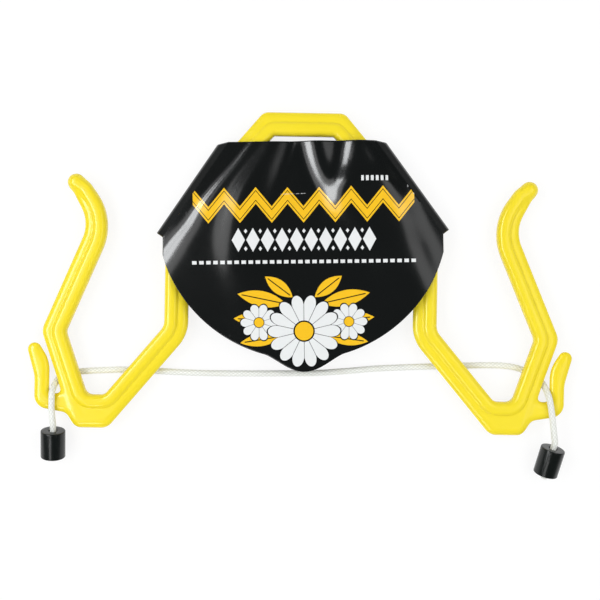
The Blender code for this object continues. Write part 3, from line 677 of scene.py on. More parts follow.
def printed_card():
    """Glossy black card with a yellow zigzag band, white rows and a group of daisies with leaves.

    The zigzag's height is a wave of straight lines. The other rows repeat a small mask along x.
    """
    finish = Finish("printed card", Specular_IOR_Level=0.5, IOR=1.66)
    x, y, _ = finish.parts(finish.surface())
    place = finish.place()
    wave = abs(((x + 0.1032) / ZIGZAG_PERIOD).math("FRACT") - 0.5) * ZIGZAG_RISE - ZIGZAG_RISE / 4
    across = abs(y - 0.0628 - wave)
    band = across.under(0.0078) * (1.0 - abs(across - 0.0046).under(0.0005)) * abs(x - 0.0008).under(0.1040)
    aside = x - GEM_CENTRE[0]
    up = abs(y - GEM_CENTRE[1])
    diamonds = (aside.repeat(GEM_PERIOD) / 0.0062 + up / 0.0112).under(1.0, 0.06)
    diamonds = diamonds * abs(aside).under(0.0680)
    between = (aside - GEM_PERIOD / 2).repeat(GEM_PERIOD)
    beads = (between / 0.0016 + abs(up - 0.0082) / 0.0022).under(1.0, 0.2) * abs(aside).under(0.0640)
    white = diamonds.either(beads)
    for row in DASH_ROWS:
        white = white.either(dash_row(x, y, *row))
    ink = finish.mix(band, INK_BLACK, INK_YELLOW)
    ink = finish.mix(white, ink, INK_WHITE)
    for base, tip, width in LEAVES:
        for side in (-1.0, 1.0):
            body, vein = leaf(x * side, y, base, tip, width)
            ink = finish.mix(body, ink, INK_YELLOW)
            ink = finish.mix(vein, ink, INK_BLACK)
    for centre, radius, petals in DAISIES:
        outline, petal, middle = flower(x, y, centre, radius, petals)
        ink = finish.mix(outline, ink, INK_BLACK)
        ink = finish.mix(petal, ink, INK_WHITE)
        ink = finish.mix(middle, ink, INK_YELLOW)
    worn = finish.noise(place, 420.0, 3.0)
    nick = abs(y - 0.0733 - (x + 0.009) * 0.035).under(0.00028, 0.0004) * abs(x + 0.0087).under(0.0117)
    nick = nick.either((abs(x - 0.0990) + abs(y - 0.0800) * 0.7).under(0.0011, 0.0004))
    nick = nick.either((abs(x - 0.1046) * 0.8 + abs(y - 0.0728) * 0.8).under(0.0009, 0.0004))
    scuffed = finish.mix(nick * (worn - 0.36).either(0.0).both(0.3) * 3.3, ink, BARE_CARD)
    rub = (finish.noise(place, 70.0, 4.0, 0.65) - 0.69).either(0.0) * 2.0
    finish.feed("Base Color", finish.mix(rub.both(0.12), scuffed, RUBBED_CARD))
    cloud = finish.noise(place, 25.0, 3.0)
    finish.feed("Roughness", 0.12 + cloud * 0.08 + rub.both(1.0) * 0.3)
    ripple = finish.noise(place, 30.0, 2.0)
    grain = finish.noise(place, 1100.0, 2.0)
    finish.feed("Normal", finish.bump(ripple * 0.5 + grain * 0.08, 0.0006, 0.35))
    return finish.material


def plain_card():
    """The card's unprinted side: black, duller, with fine fibres."""
    finish = Finish("plain card", Specular_IOR_Level=0.4)
    place = finish.place()
    fibre = finish.noise(place, 260.0, 4.0, 0.6, stretch=(1.0, 3.0, 1.0))
    finish.feed("Base Color", finish.mix(fibre, BACK_DARK, BACK_PALE))
    finish.feed("Roughness", 0.42 + fibre * 0.2)
    finish.feed("Normal", finish.bump(fibre, 0.0002, 0.5))
    return finish.material


# Camera


def make_camera():
    """The camera a metre over the yoke, turned by the small tilt of the photograph."""
    data = bpy.data.cameras.new("camera")
    data.lens = CAMERA_LENS
    data.sensor_width = 36.0
    data.clip_start = 0.05
    made = bpy.data.objects.new("camera", data)
    made.location = CAMERA_PLACE
    made.rotation_euler = (0.0, 0.0, CAMERA_TILT)
    bpy.context.scene.collection.objects.link(made)
    bpy.context.scene.camera = made


# The cord

RUN_ROUTE = np.array([
    (-0.2170, 0.0510),
    (-0.2083, 0.0522),
    (-0.1900, 0.0537),
    (-0.1652, 0.0546),
    (-0.1341, 0.0538),
    (-0.0975, 0.0528),
    (-0.0515, 0.0531),
    (-0.0058, 0.0541),
    (0.0141, 0.0546),
    (0.0462, 0.0573),
    (0.0735, 0.0601),
    (0.1010, 0.0618),
    (0.1285, 0.0631),
    (0.1570, 0.0645),
    (0.1936, 0.0651),
    (0.2075, 0.0631),
    (0.2160, 0.0602),
])
LEFT_BEND = np.array([
    (-0.2228, 0.0499, 0.02),
    (-0.2272, 0.0478, 0.08),
    (-0.2302, 0.0443, 0.25),
    (-0.2317, 0.0403, 0.54),
    (-0.2323, 0.0363, 0.83),
    (-0.2325, 0.0323, 0.98),
    (-0.2325, 0.0272, 1.0),
])
RIGHT_BEND = np.array([
    (0.2222, 0.0578, 0.02),
    (0.2276, 0.0537, 0.09),
    (0.2312, 0.0495, 0.26),
    (0.2330, 0.0452, 0.53),
    (0.2341, 0.0405, 0.83),
    (0.2353, 0.0355, 0.98),
    (0.2364, 0.0300, 1.0),
])
LEFT_TAIL_START = (-0.2325, 0.0174)
RIGHT_TAIL_START = (0.2380, 0.0204)
LEFT_STOPPER_TOP = (-0.2315, -0.0029)
RIGHT_STOPPER_TOP = (0.2404, -0.0113)
LEFT_STOPPER_YAW = math.radians(-2.3)
RIGHT_STOPPER_YAW = math.radians(-12.6)


def stopper_axis(yaw):
    """The unit direction from a stopper's upper end to its lower end."""
    flat = math.cos(STOPPER_TILT)
    return np.array([math.sin(yaw) * flat, -math.cos(yaw) * flat, -math.sin(STOPPER_TILT)])


def stopper_top(spot):
    """The middle of a stopper's upper end."""
    rim = STOPPER_DIAMETER / 2 * math.cos(STOPPER_TILT) + 0.00002
    return np.array([spot[0], BOTTOM + spot[1], rim + STOPPER_LENGTH * math.sin(STOPPER_TILT)])


def bend_points(bend):
    """A bend's points: x, y and the climb's share turned into a height."""
    height = CORD_Z + bend[:, 2] * (CORD_OVER_TAB_Z - CORD_Z)
    return np.column_stack([bend[:, 0], BOTTOM + bend[:, 1], height])


def tail_points(start, top_spot, yaw):
    """A tail's route: level off the tab, a drooping curve of the second degree, and down the bore."""
    begin = np.array([start[0], BOTTOM + start[1], CORD_OVER_TAB_Z])
    top = stopper_top(top_spot)
    axis = stopper_axis(yaw)
    straight = top - 0.0060 * axis
    reach = np.linalg.norm(straight - begin)
    control = begin + np.array([(straight[0] - begin[0]) / reach, -1.0, -0.03]) * 0.45 * reach
    end = top + (STOPPER_LENGTH - KNOT_LENGTH - 0.0010) * axis
    share = np.linspace(0, 1, 7)[:, None]
    droop = (1 - share) ** 2 * begin + 2 * share * (1 - share) * control + share ** 2 * straight
    return np.vstack([droop, [top, end]])


def braided_tube(name, path, phase=0.0):
    """A braided tube: circles carried along the path, each point lifted by the braid's height.

    A point is the path's centre plus the cord's radius, less the braid's depth, in the plane square to
    the path. The surface coordinates are the distance along the cord and the share of a turn round it.
    """
    sides = 44
    along = unit(np.gradient(path, axis=0))
    aside = unit(np.cross(along, (0.0, 0.0, 1.0)))
    over = np.cross(aside, along)
    travelled = phase + travelled_along(path)
    turn = 2 * math.pi * np.arange(sides + 1) / sides
    relief = braid_relief(travelled[:, None], turn[None, :])
    radius = CORD_DIAMETER / 2 - BRAID_DEPTH * (1 - relief)
    aside, over = aside[:, None, :], over[:, None, :]
    circle = np.cos(turn)[None, :, None] * aside + np.sin(turn)[None, :, None] * over
    points = path[:, None, :] + radius[..., None] * circle
    uv = np.stack(np.broadcast_arrays(travelled[:, None], turn[None, :] / (2 * math.pi)), axis=-1)
    rows = len(path)
    faces = lattice_faces(rows, sides + 1)[:, ::-1].tolist()
    first = list(range(sides))
    last = [(rows - 1) * (sides + 1) + index for index in range(sides)]
    faces += [first, last[::-1]]
    made = mesh_object(name, points.reshape(-1, 3), faces, uv.reshape(-1, 2))
    return tidy(made, 0.000005)


def make_cord(cord_finish):
    """The run behind the yoke with its two bends through the eyes, and the two tails."""
    run = np.column_stack([RUN_ROUTE[:, 0], BOTTOM + RUN_ROUTE[:, 1], np.full(len(RUN_ROUTE), CORD_Z)])
    route = np.vstack([bend_points(LEFT_BEND)[::-1], run, bend_points(RIGHT_BEND)])
    path = spline(route, CORD_SPACING)
    cord = braided_tube("braided_run", path)
    cord.data.materials.append(cord_finish)
    hand_over(cord, ("cord_run", "cord_bend_left", "cord_bend_right"), "yoke")
    length = float(travelled_along(path)[-1])
    tails = {}
    sides = (
        ("left", path[0], LEFT_TAIL_START, LEFT_STOPPER_TOP, LEFT_STOPPER_YAW, 0.0),
        ("right", path[-1], RIGHT_TAIL_START, RIGHT_STOPPER_TOP, RIGHT_STOPPER_YAW, length),
    )
    for side, joint_end, start, top_spot, yaw, phase in sides:
        route = np.vstack([[joint_end], tail_points(start, top_spot, yaw)])
        tail_path = spline(route, CORD_SPACING)
        tail = braided_tube("braided_tail_" + side, tail_path, phase)
        tail.data.materials.append(cord_finish)
        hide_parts("cord_tail_" + side)
        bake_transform(tail)
        tails[side] = (tail, tail_path)
    return tails


def circle_round(axis, turn):
    """Unit vectors square to an axis, one for each angle."""
    aside = unit(np.cross(axis, (0.0, 0.0, 1.0)))
    over = np.cross(aside, axis)
    return np.cos(turn)[..., None] * aside + np.sin(turn)[..., None] * over


def turned(name, profile, steps, top, axis, finish):
    """A turned piece: a closed (radius, distance) profile carried once round the axis.

    A point is the top plus the distance along the axis plus the radius times a circle square to it.
    """
    turn = 2 * math.pi * np.arange(steps) / steps
    circle = circle_round(axis, turn[:, None])
    points = top + profile[None, :, 1:] * axis + profile[None, :, :1] * circle
    uv = np.stack(np.broadcast_arrays(profile[None, :, 1], turn[:, None] / (2 * math.pi)), axis=-1)
    faces = lattice_faces(steps, len(profile), wrap_rows=True, wrap_columns=True)
    made = mesh_object(name, points.reshape(-1, 3), faces.tolist(), uv.reshape(-1, 2))
    made.data.materials.append(finish)
    return tidy(made, MERGE_DISTANCE)


def make_stopper(side, top_spot, yaw, finish):
    """A short thick tube with rounded rims, a chamfered bore and a pocket for the knot."""
    outer = STOPPER_DIAMETER / 2
    bore = STOPPER_BORE / 2
    pocket = KNOT_DIAMETER / 2 + 0.0010
    depth = STOPPER_LENGTH - KNOT_LENGTH - 0.0020
    corners = [
        ((outer + bore) / 2, 0.0, 0.0),
        (outer, 0.0, 0.0009),
        (outer, STOPPER_LENGTH, 0.0009),
        (pocket, STOPPER_LENGTH, 0.0006),
        (pocket, depth, 0.0005),
        (bore, depth, 0.0005),
        (bore, 0.0, 0.0008),
        ((outer + bore) / 2, 0.0, 0.0),
    ]
    profile = rounded_path(corners, 7)[:-1]
    made = turned("stopper_body_" + side, profile, 96, stopper_top(top_spot), stopper_axis(yaw), finish)
    hand_over(made, ("stopper_" + side,), side + "_stopper")
    return made


def make_knot(side, top_spot, yaw, end_length, finish):
    """A pulled-tight knot: a plump body with strands wound round it, and the cut end of the cord.

    The radius is half an ellipse along the axis, raised by a rounded wave that winds round the body.
    """
    start = STOPPER_LENGTH - KNOT_LENGTH - 0.0007
    length = KNOT_LENGTH - 0.0003
    rows = 40
    columns = 72
    share = np.linspace(0, 1, rows)[:, None]
    turn = 2 * math.pi * np.arange(columns)[None, :] / columns
    swell = np.sqrt(np.clip(1 - (2 * share - 1) ** 2, 0, 1))
    wind = np.abs(np.sin(turn + 2.6 * math.pi * share)) ** 0.7
    fat = KNOT_DIAMETER / 2 - 0.0029
    radius = 0.0029 * np.minimum(1, swell * 3) + fat * swell * (0.80 + 0.20 * wind)
    distance = np.broadcast_to(start + length * share, radius.shape)
    end = start + length + end_length
    stub = np.array([(0.0029, start + length - 0.0008), (0.0029, end - 0.0005), (0.0024, end), (0.0, end)])
    radius = np.vstack([radius[:-2], np.repeat(stub[:, :1], columns, axis=1)])
    distance = np.vstack([distance[:-2], np.repeat(stub[:, 1:], columns, axis=1)])
    axis = stopper_axis(yaw)
    circle = circle_round(axis, turn)
    points = stopper_top(top_spot) + distance[..., None] * axis + radius[..., None] * circle
    uv = np.stack(np.broadcast_arrays(distance, turn / (2 * math.pi)), axis=-1)
    faces = lattice_faces(len(radius), columns, wrap_columns=True).tolist()
    made = mesh_object("knot_" + side, points.reshape(-1, 3), faces, uv.reshape(-1, 2))
    made.data.materials.append(finish)
    tidy(made, MERGE_DISTANCE)
    hand_over(made, ("cord_knot_" + side,), side + "_tail")
    return made


def make_ends(cord_finish):
    """The stoppers and knots."""
    black = satin_black()
    for side, top_spot, yaw, end_length in (
        ("left", LEFT_STOPPER_TOP, LEFT_STOPPER_YAW, 0.0029),
        ("right", RIGHT_STOPPER_TOP, RIGHT_STOPPER_YAW, 0.0057),
    ):
        stopper = make_stopper(side, top_spot, yaw, black)
        knot = make_knot(side, top_spot, yaw, end_length, cord_finish)


# The yoke


def bead_path():
    """The bead's centreline for the right half, its groove's fillet at each point and its corners.

    On the arch the bead runs on the neck side. It crosses the bar along the shoulder and then keeps to
    the slot side. The fillet grows over the last four radii of the tip, where the groove runs out.
    """
    half = BEAD_WIDTH / 2
    deep = BAR_WIDTH - half
    edge = SLOT_SIDE
    lean = edge[8] + half * right_of(unit(edge[8] - edge[7]))
    corners = [
        (-0.030, TOP - deep, 0.0),
        (*inset_corner(edge, 1, deep), 0.009),
        (*inset_corner(edge, 2, 0.0112), 0.032),
        (edge[2][0] - half, TOP - 0.1450, 0.060),
        (*inset_corner(edge, 3, half), 0.014 + half),
        (*inset_corner(edge, 4, half), 0.008 + half),
        (*inset_corner(edge, 5, half), 0.008 + half),
        (*inset_corner(edge, 6, half), 0.008 + half),
        (*inset_corner(edge, 7, half), 0.033 + LEG_WIDTH - half),
        (*lean, 0.012),
        (*TIP_CENTRE, 0.0),
    ]
    path = rounded_path(corners)
    travelled = travelled_along(path)
    near_tip = np.clip(1 - (travelled[-1] - travelled) / (4 * TIP_RADIUS), 0, 1)
    return path, GROOVE_FILLET + 0.0045 * near_tip, corners


def plate_outlines():
    """The closed outlines of the right half's two plates: the bar with its foot, the tab with its finger.

    Where the bead runs along an edge, the bar's outline ends on the bead's centreline. The bar's runs a
    little past the middle of the arch, and the tab's starts and ends inside the bar.
    """
    edge = SLOT_SIDE
    bead = bead_path()[2]
    shoulder = inset_corner(edge, 2, BAR_WIDTH)
    bend = inset_corner(edge, 3, BAR_WIDTH)
    kink = inset_corner(edge, 6, LEG_WIDTH)
    waist = inset_corner(edge, 7, LEG_WIDTH)
    leg = unit(edge[6] - edge[5])
    foot = np.array([0.2106, BOTTOM])
    root = np.array([0.2212, BOTTOM + 0.0140])
    foot_inner = meet(bend, unit(edge[4] - edge[3]), foot, (1.0, 0.0))
    foot_outer = meet(kink, leg, foot, root - foot)
    bar = [(-0.030, TOP, 0.0), (*edge[1], 0.010), (*edge[2], 0.032)]
    bar += [(edge[2][0], TOP - 0.1380, 0.0), (bead[3][0], TOP - 0.1520, 0.0)]
    bar += bead[4:10]
    bar += [(*spot, 0.0) for spot in tangent_arc(bead[9][:2], TIP_CENTRE, TIP_RADIUS - 0.0004, waist, 32)]
    bar += [(*waist, 0.033), (*kink, 0.016), (*foot_outer, 0.018), (*foot, 0.0090), (*foot_inner, 0.013)]
    bar += [(*bend, 0.0366), (*shoulder, 0.016), (*bead[1][:2], 0.009), (-0.030, bead[0][1], 0.0)]

    eye_leg = meet(kink, leg, (0.0, BOTTOM + 0.0320), (1.0, 0.0))
    throat = (0.2368, BOTTOM + 0.0630)
    finger_bend = (0.2507, BOTTOM + 0.0483)
    inside = right_of(leg) * 0.0016
    eye_top = eye_leg + 0.017 * leg - inside
    tab = [(0.2150, BOTTOM + 0.0460, 0.0), (*eye_top, 0.004), (*eye_leg, 0.0046)]
    tab += [(0.2368, BOTTOM + 0.0320, 0.0046), (*throat, 0.032)]
    finger_tip = tangent_arc(throat, (0.2511, BOTTOM + 0.0733), 0.0064, finger_bend, 32)
    tab += [(*spot, 0.0) for spot in finger_tip]
    tab += [(*finger_bend, 0.034), (0.2507, BOTTOM + 0.0190, 0.0130), (*root, 0.009)]
    tab += [(*(foot + 0.25 * (root - foot) + (-0.0018, 0.0)), 0.003), (0.2000, BOTTOM + 0.0100, 0.0)]
    return rounded_path(bar), rounded_path(tab)


def nearest(points, path, closed, values=None):
    """For each point in the plane: its distance to a path, the way from it, and the path's value there.

    Points with a negative x are read at their mirror image. Each segment's nearest spot is its start
    plus a clamped share of its length. For a closed path the distance is negative inside, where a ray
    crosses the outline an odd number of times.
    """
    start = path if closed else path[:-1]
    end = np.roll(path, -1, axis=0) if closed else path[1:]
    span = end - start
    square = np.maximum((span ** 2).sum(axis=1), 1e-18)
    side = np.where(points[:, 0] < 0, -1.0, 1.0)
    folded = np.column_stack([np.abs(points[:, 0]), points[:, 1]])
    distance = np.empty(len(points))
    way = np.empty((len(points), 2))
    value = np.zeros(len(points))
    for low in range(0, len(points), 6000):
        block = folded[low : low + 6000]
        offset = block[:, None, :] - start[None]
        share = np.clip((offset * span[None]).sum(axis=2) / square, 0, 1)
        gap = offset - share[..., None] * span[None]
        far = (gap ** 2).sum(axis=2)
        best = far.argmin(axis=1)
        rows = np.arange(len(block))
        reach = np.sqrt(far[rows, best])
        sign = np.ones(len(block))
        if closed:
            above = (start[None, :, 1] > block[:, None, 1]) != (end[None, :, 1] > block[:, None, 1])
            rise = np.where(span[:, 1] == 0, 1e-12, span[:, 1])
            crossing = start[None, :, 0] + offset[..., 1] / rise * span[None, :, 0]
            inside = (above & (block[:, None, 0] < crossing)).sum(axis=1) % 2 == 1
            sign = np.where(inside, -1.0, 1.0)
        distance[low : low + 6000] = reach * sign
        way[low : low + 6000] = gap[rows, best] / np.maximum(reach, 1e-9)[:, None] * sign[:, None]
        if values is not None:
            part = share[rows, best]
            value[low : low + 6000] = values[best] * (1 - part) + values[best + 1] * part
    way[:, 0] *= side
    return distance, way, value


def rounded_slab(aside, height, half, radius):
    """The distance to a slab with rounded rims, and its slopes aside and with the height."""
    beyond = aside + radius
    above = np.abs(height) - (half - radius)
    out_beyond = np.maximum(beyond, 0)
    out_above = np.maximum(above, 0)
    corner = np.hypot(out_beyond, out_above)
    value = corner + np.minimum(np.maximum(beyond, above), 0) - radius
    outside = corner > 1e-12
    safe = np.where(outside, corner, 1.0)
    slope_aside = np.where(outside, out_beyond / safe, beyond > above)
    slope_height = np.where(outside, out_above / safe, beyond <= above) * np.sign(height)
    return value, slope_aside, slope_height


def domed_slab(aside, height, half, rim):
    """A field for a slab whose rim is a quarter of an ellipse, and its two slopes.

    With u the share of the rim left over and w the share of the half thickness, it is
    half times (the root of u squared plus w squared, less one).
    """
    u = np.maximum(aside + rim, 0) / rim
    w = height / half
    size = np.maximum(np.hypot(u, w), 1e-9)
    return half * (size - 1), u / size * (half / rim), w / size


def joined(a, b, fillet_size):
    """Two fields with slopes under the smooth minimum b(1-h) + ah - kh(1-h).

    Here h is the share 1/2 + (b-a)/2k, kept between 0 and 1. It rounds the corner between the shapes.
    """
    share = np.clip(0.5 + 0.5 * (b[0] - a[0]) / fillet_size, 0, 1)
    value = b[0] * (1 - share) + a[0] * share - fillet_size * share * (1 - share)
    return value, b[1] * (1 - share[..., None]) + a[1] * share[..., None]


def yoke_field(near, height):
    """The moulding's field and its slope, from the plane's distances to the bar, the tab and the bead.

    The bead's top is crowned: its half thickness falls by the crown times the square of the share of its
    half-width. That is the same as a height that is greater by as much.
    """
    bead_half = BEAD_WIDTH / 2 - 0.12 * (near[2][2] - GROOVE_FILLET)
    share = np.minimum(near[2][0] / bead_half, 1.5)
    lifted = height + np.sign(height) * BEAD_CROWN * share ** 2
    bar = domed_slab(near[0][0], height, BAR_PLATE_THICKNESS / 2, BAR_PLATE_RIM)
    tab = domed_slab(near[1][0], height, TAB_THICKNESS / 2, TAB_RIM)
    value, aside, up = rounded_slab(near[2][0] - bead_half, lifted, BEAD_THICKNESS / 2, BEAD_ROUND)
    bead = (value, aside + np.abs(up) * 2 * BEAD_CROWN * share / bead_half, up)
    fields = []
    for (_, way, _), (value, aside, up) in zip(near, (bar, tab, bead)):
        fields.append((value, np.concatenate([way * aside[..., None], up[..., None]], axis=-1)))
    return joined(joined(fields[0], fields[1], TAB_FILLET), fields[2], near[2][2])


def net_surface(value, axes):
    """The zero surface of a sampled field, as a net with one point in each cell that it passes through.

    A point is the mean of the places where the cell's edges change sign. Each such edge gives one quad
    between its four cells.
    """
    inside = value < 0
    count = np.zeros([n - 1 for n in value.shape])
    total = np.zeros((*count.shape, 3))
    crossings = []
    for axis in range(3):
        low = [slice(None)] * 3
        high = [slice(None)] * 3
        low[axis] = slice(None, -1)
        high[axis] = slice(1, None)
        low, high = tuple(low), tuple(high)
        change = inside[low] != inside[high]
        spots = np.argwhere(change)
        first = value[low][change]
        share = first / (first - value[high][change])
        place = np.column_stack([axes[k][spots[:, k]] for k in range(3)])
        place[:, axis] += share * (axes[axis][1] - axes[axis][0])
        others = [k for k in range(3) if k != axis]
        for back_a in (0, 1):
            for back_b in (0, 1):
                cell = spots.copy()
                cell[:, others[0]] -= back_a
                cell[:, others[1]] -= back_b
                np.add.at(count, tuple(cell.T), 1)
                np.add.at(total, tuple(cell.T), place)
        crossings.append((axis, others, spots, inside[low][change]))
    active = count > 0
    points = total[active] / count[active][:, None]
    index = np.full(count.shape, -1)
    index[active] = np.arange(len(points))
    faces = []
    for axis, others, spots, leaving in crossings:
        ring = []
        for back_a, back_b in ((0, 0), (1, 0), (1, 1), (0, 1)):
            cell = spots.copy()
            cell[:, others[0]] -= back_a
            cell[:, others[1]] -= back_b
            ring.append(index[tuple(cell.T)])
        quads = np.column_stack(ring)
        flip = leaving if axis != 1 else ~leaving
        faces.append(np.where(flip[:, None], quads, quads[:, ::-1]))
    return points, np.vstack(faces)


def make_yoke():
    """The moulding: a net drawn on the field of its plates and bead, with its points set on the surface.

    Each point moves down the field's slope by the field over the slope's square, four times over. The
    shading normals are the slope's direction.
    """
    step = 0.00112
    axes = [
        step * (np.arange(2 * math.ceil(0.2590 / step) + 1) - math.ceil(0.2590 / step)),
        np.arange(BOTTOM - 2.6 * step, TOP + 3 * step, step),
        YOKE_MID_Z + step * (np.arange(2 * math.ceil(0.0092 / step) + 1) - math.ceil(0.0092 / step)),
    ]
    bead, fillets, _ = bead_path()
    bar, tab = plate_outlines()
    outlines = ((bar, True, None), (tab, True, None), (bead, False, fillets))
    half = np.stack(np.meshgrid(axes[0][len(axes[0]) // 2 :], axes[1], indexing="ij"), axis=-1)
    shape = half.shape[:2]
    near = []
    for path, closed, values in outlines:
        gap, way, value = nearest(half.reshape(-1, 2), path, closed, values)
        near.append((gap.reshape(*shape, 1), way.reshape(*shape, 1, 2), value.reshape(*shape, 1)))
    height = (axes[2] - YOKE_MID_Z)[None, None, :]
    value = yoke_field(near, height)[0]
    points, faces = net_surface(np.concatenate([value[:0:-1], value]), axes)
    for _ in range(4):
        near = [nearest(points[:, :2], *outline) for outline in outlines]
        gap, slope = yoke_field(near, points[:, 2] - YOKE_MID_Z)
        points = points - (gap / np.maximum((slope ** 2).sum(axis=1), 0.09))[:, None] * slope
    normals = unit(slope)
    corner = points[faces]
    facing = np.cross(corner[:, 2] - corner[:, 0], corner[:, 3] - corner[:, 1])
    outward = (facing * normals[faces[:, 0]]).sum(axis=1) > 0
    faces = np.where(outward[:, None], faces, faces[:, ::-1])
    yoke = mesh_object("yoke_moulding", points, faces.tolist())
    yoke.data.normals_split_custom_set_from_vertices(normals.tolist())
    yoke.data.materials.append(yellow_moulding())
    hand_over(yoke, ("yoke_frame",), "yoke")


# The card


def soft_step(distance, width):
    """A step from 0 to 1 about a distance of 0: half of one plus the hyperbolic tangent."""
    return 0.5 + 0.5 * np.tanh(distance / width)


def between_rows(rows, column, level):
    """A column's value between its rows, and its slope.

    It is a cubic that takes each row's value, with the slope there measured over the rows beside it.
    """
    heights = rows[::-1, 0]
    values = rows[::-1, column]
    slopes = np.gradient(values, heights)
    low = np.clip(np.searchsorted(heights, level) - 1, 0, len(heights) - 2)
    span = heights[low + 1] - heights[low]
    t = np.clip((level - heights[low]) / span, 0, 1)
    first, last = values[low], values[low + 1]
    leave, arrive = slopes[low] * span, slopes[low + 1] * span
    bend = 2 * first - 2 * last + leave + arrive
    turn = 3 * last - 3 * first - 2 * leave - arrive
    return first + t * (leave + t * (turn + t * bend)), (leave + t * (2 * turn + 3 * t * bend)) / span


def card_step(rows, x, y):
    """A soft step along a leaning line, and its rise."""
    rows = np.array(rows)
    line, lean = between_rows(rows, 1, y)
    width = between_rows(rows, 2, y)[0]
    rise = between_rows(rows, 3, y)[0]
    return soft_step((x - line) / np.hypot(1, lean), width), rise


def card_front_z(x, y, crease_bottom, along):
    """The front panel's height over the ground: the crease's height and the sum of the soft steps.

    The sum starts at nothing along the left crease and falls back to nothing at the right crease.
    """
    inward = right_of(along)
    left = (-x - crease_bottom[0]) * inward[0] + (y - crease_bottom[1]) * inward[1]
    crease_x = crease_bottom[0] + (y - crease_bottom[1]) * along[0] / along[1]
    rise = np.full_like(x, CARD_LEAST_RISE)
    for rows in CARD_STEPS:
        step, height = card_step(rows, x, y)
        rise = rise + step * height
    fall = card_step(CARD_FALL, x, y)[0] / card_step(CARD_FALL, crease_x, y)[0]
    return CARD_CREASE_Z + rise * (1 - np.exp(-np.maximum(left, 0) / 0.0022)) * np.maximum(1 - fall, 0)


def card_back_z(x, half):
    """The back panel's height: it sags to the ground between the shoulders."""
    return CARD_BACK_Z * (1 - np.cos(np.clip(np.abs(x) / half, 0, 1) * math.pi / 2) ** 2) + 0.00002


def make_card():
    """The sleeve as a loop of front, spine, back and spine, and the apron under its front.

    Across the front a row is straight, from crease to crease. Round a spine a point is the crease's
    point moved outwards, and back again under the fold. The apron's columns run straight down from the
    sleeve to the lower edge, which is part of a circle with a round lobe.
    """
    along = unit(CARD_FOLD_BOTTOM - CARD_FOLD_TOP)
    inward = right_of(along)
    crease_bottom = CARD_FOLD_BOTTOM + CARD_SPINE_RUN * inward
    crease_top = meet(crease_bottom, along, (0.0, CARD_TOP_Y), (1.0, 0.0))
    rows = 70
    columns = 181
    share = np.linspace(0, 1, rows)[:, None]
    crease = crease_top + share * (crease_bottom - crease_top)
    fold = CARD_FOLD_TOP + share * (CARD_FOLD_BOTTOM - CARD_FOLD_TOP)
    across = np.linspace(-1, 1, columns)[None, :]
    x = across * crease[:, :1]
    y = np.broadcast_to(crease[:, 1:], x.shape)
    front = np.stack([x, y, card_front_z(x, y, crease_bottom, along)], axis=-1)
    back = np.stack([-x, y, card_back_z(x, crease[:, :1])], axis=-1)
    out = np.array([0.12, 0.30, 0.50, 0.70, 0.88, 0.985, 0.985, 0.88, 0.70, 0.50, 0.30, 0.12])
    mid = YOKE_MID_Z
    drop = np.array([0.08, 0.20, 0.34, 0.47, 0.61, 0.82, 1.18, 1.39, 1.53, 1.66, 1.80, 1.92])
    upper = CARD_CREASE_Z + drop * (mid - CARD_CREASE_Z)
    z = np.where(drop <= 1, upper, mid + (drop - 1) * (CARD_BACK_Z - mid))
    plan = crease[:, None, :] + out[None, :, None] * (fold - crease)[:, None, :]
    spine = np.concatenate([plan, np.broadcast_to(z[None, :, None], (*plan.shape[:2], 1))], axis=-1)
    far_spine = spine[:, ::-1] * np.array([-1.0, 1.0, 1.0])
    loop = np.concatenate([front, spine, back, far_spine], axis=1)
    beyond = np.full((rows, loop.shape[1] - columns, 2), 5.0)
    loop_uv = np.concatenate([front[..., :2], beyond], axis=1)

    radius = math.hypot(crease_bottom[0], CARD_CURVE_SIDE_DEPTH)
    angle = across[0] * math.asin(crease_bottom[0] / radius)
    edge_x = radius * np.sin(angle)
    lobe = np.cos(np.clip(np.abs(edge_x) / CARD_LOBE_HALF, 0, 1) * math.pi / 2) ** 1.5
    edge_y = CARD_CURVE_CENTRE_Y - radius * np.cos(angle) - CARD_LOBE_DEPTH * lobe
    apron_rows = 90
    down = np.linspace(0, 1, apron_rows)[:, None]
    x = across * crease_bottom[0] * (1 - down) + edge_x * down
    y = crease_bottom[1] * (1 - down) + edge_y * down
    apron = np.stack([x, y, card_front_z(x, y, crease_bottom, along)], axis=-1)

    points = np.concatenate([loop.reshape(-1, 3), apron.reshape(-1, 3)])
    uv = np.concatenate([loop_uv.reshape(-1, 2), apron[..., :2].reshape(-1, 2)])
    pivot = (CARD_FOLD_TOP[1] + CARD_FOLD_BOTTOM[1]) / 2
    cos, sin = math.cos(CARD_SKEW), math.sin(CARD_SKEW)
    rise = points[:, 1] - pivot
    points = np.column_stack([
        CARD_CENTRE_X + points[:, 0] * cos - rise * sin,
        pivot + points[:, 0] * sin + rise * cos,
        points[:, 2],
    ])
    faces = np.concatenate([
        lattice_faces(rows, loop.shape[1], wrap_columns=True)[:, ::-1],
        lattice_faces(apron_rows, columns, start=rows * loop.shape[1])[:, ::-1],
    ])
    card = mesh_object("printed_sleeve", points, faces.tolist(), uv)
    tidy(card, MERGE_DISTANCE, closed=False)
    card.data.set_sharp_from_angle(angle=CARD_SHARP_ANGLE)
    card.data.materials.append(printed_card())
    card.data.materials.append(plain_card())
    wall = card.modifiers.new("thickness", "SOLIDIFY")
    wall.thickness = CARD_THICKNESS
    wall.offset = -1.0
    wall.material_offset = 1
    wall.material_offset_rim = 1
    hand_over(card, ("header_card",), "card")


# Floor and light


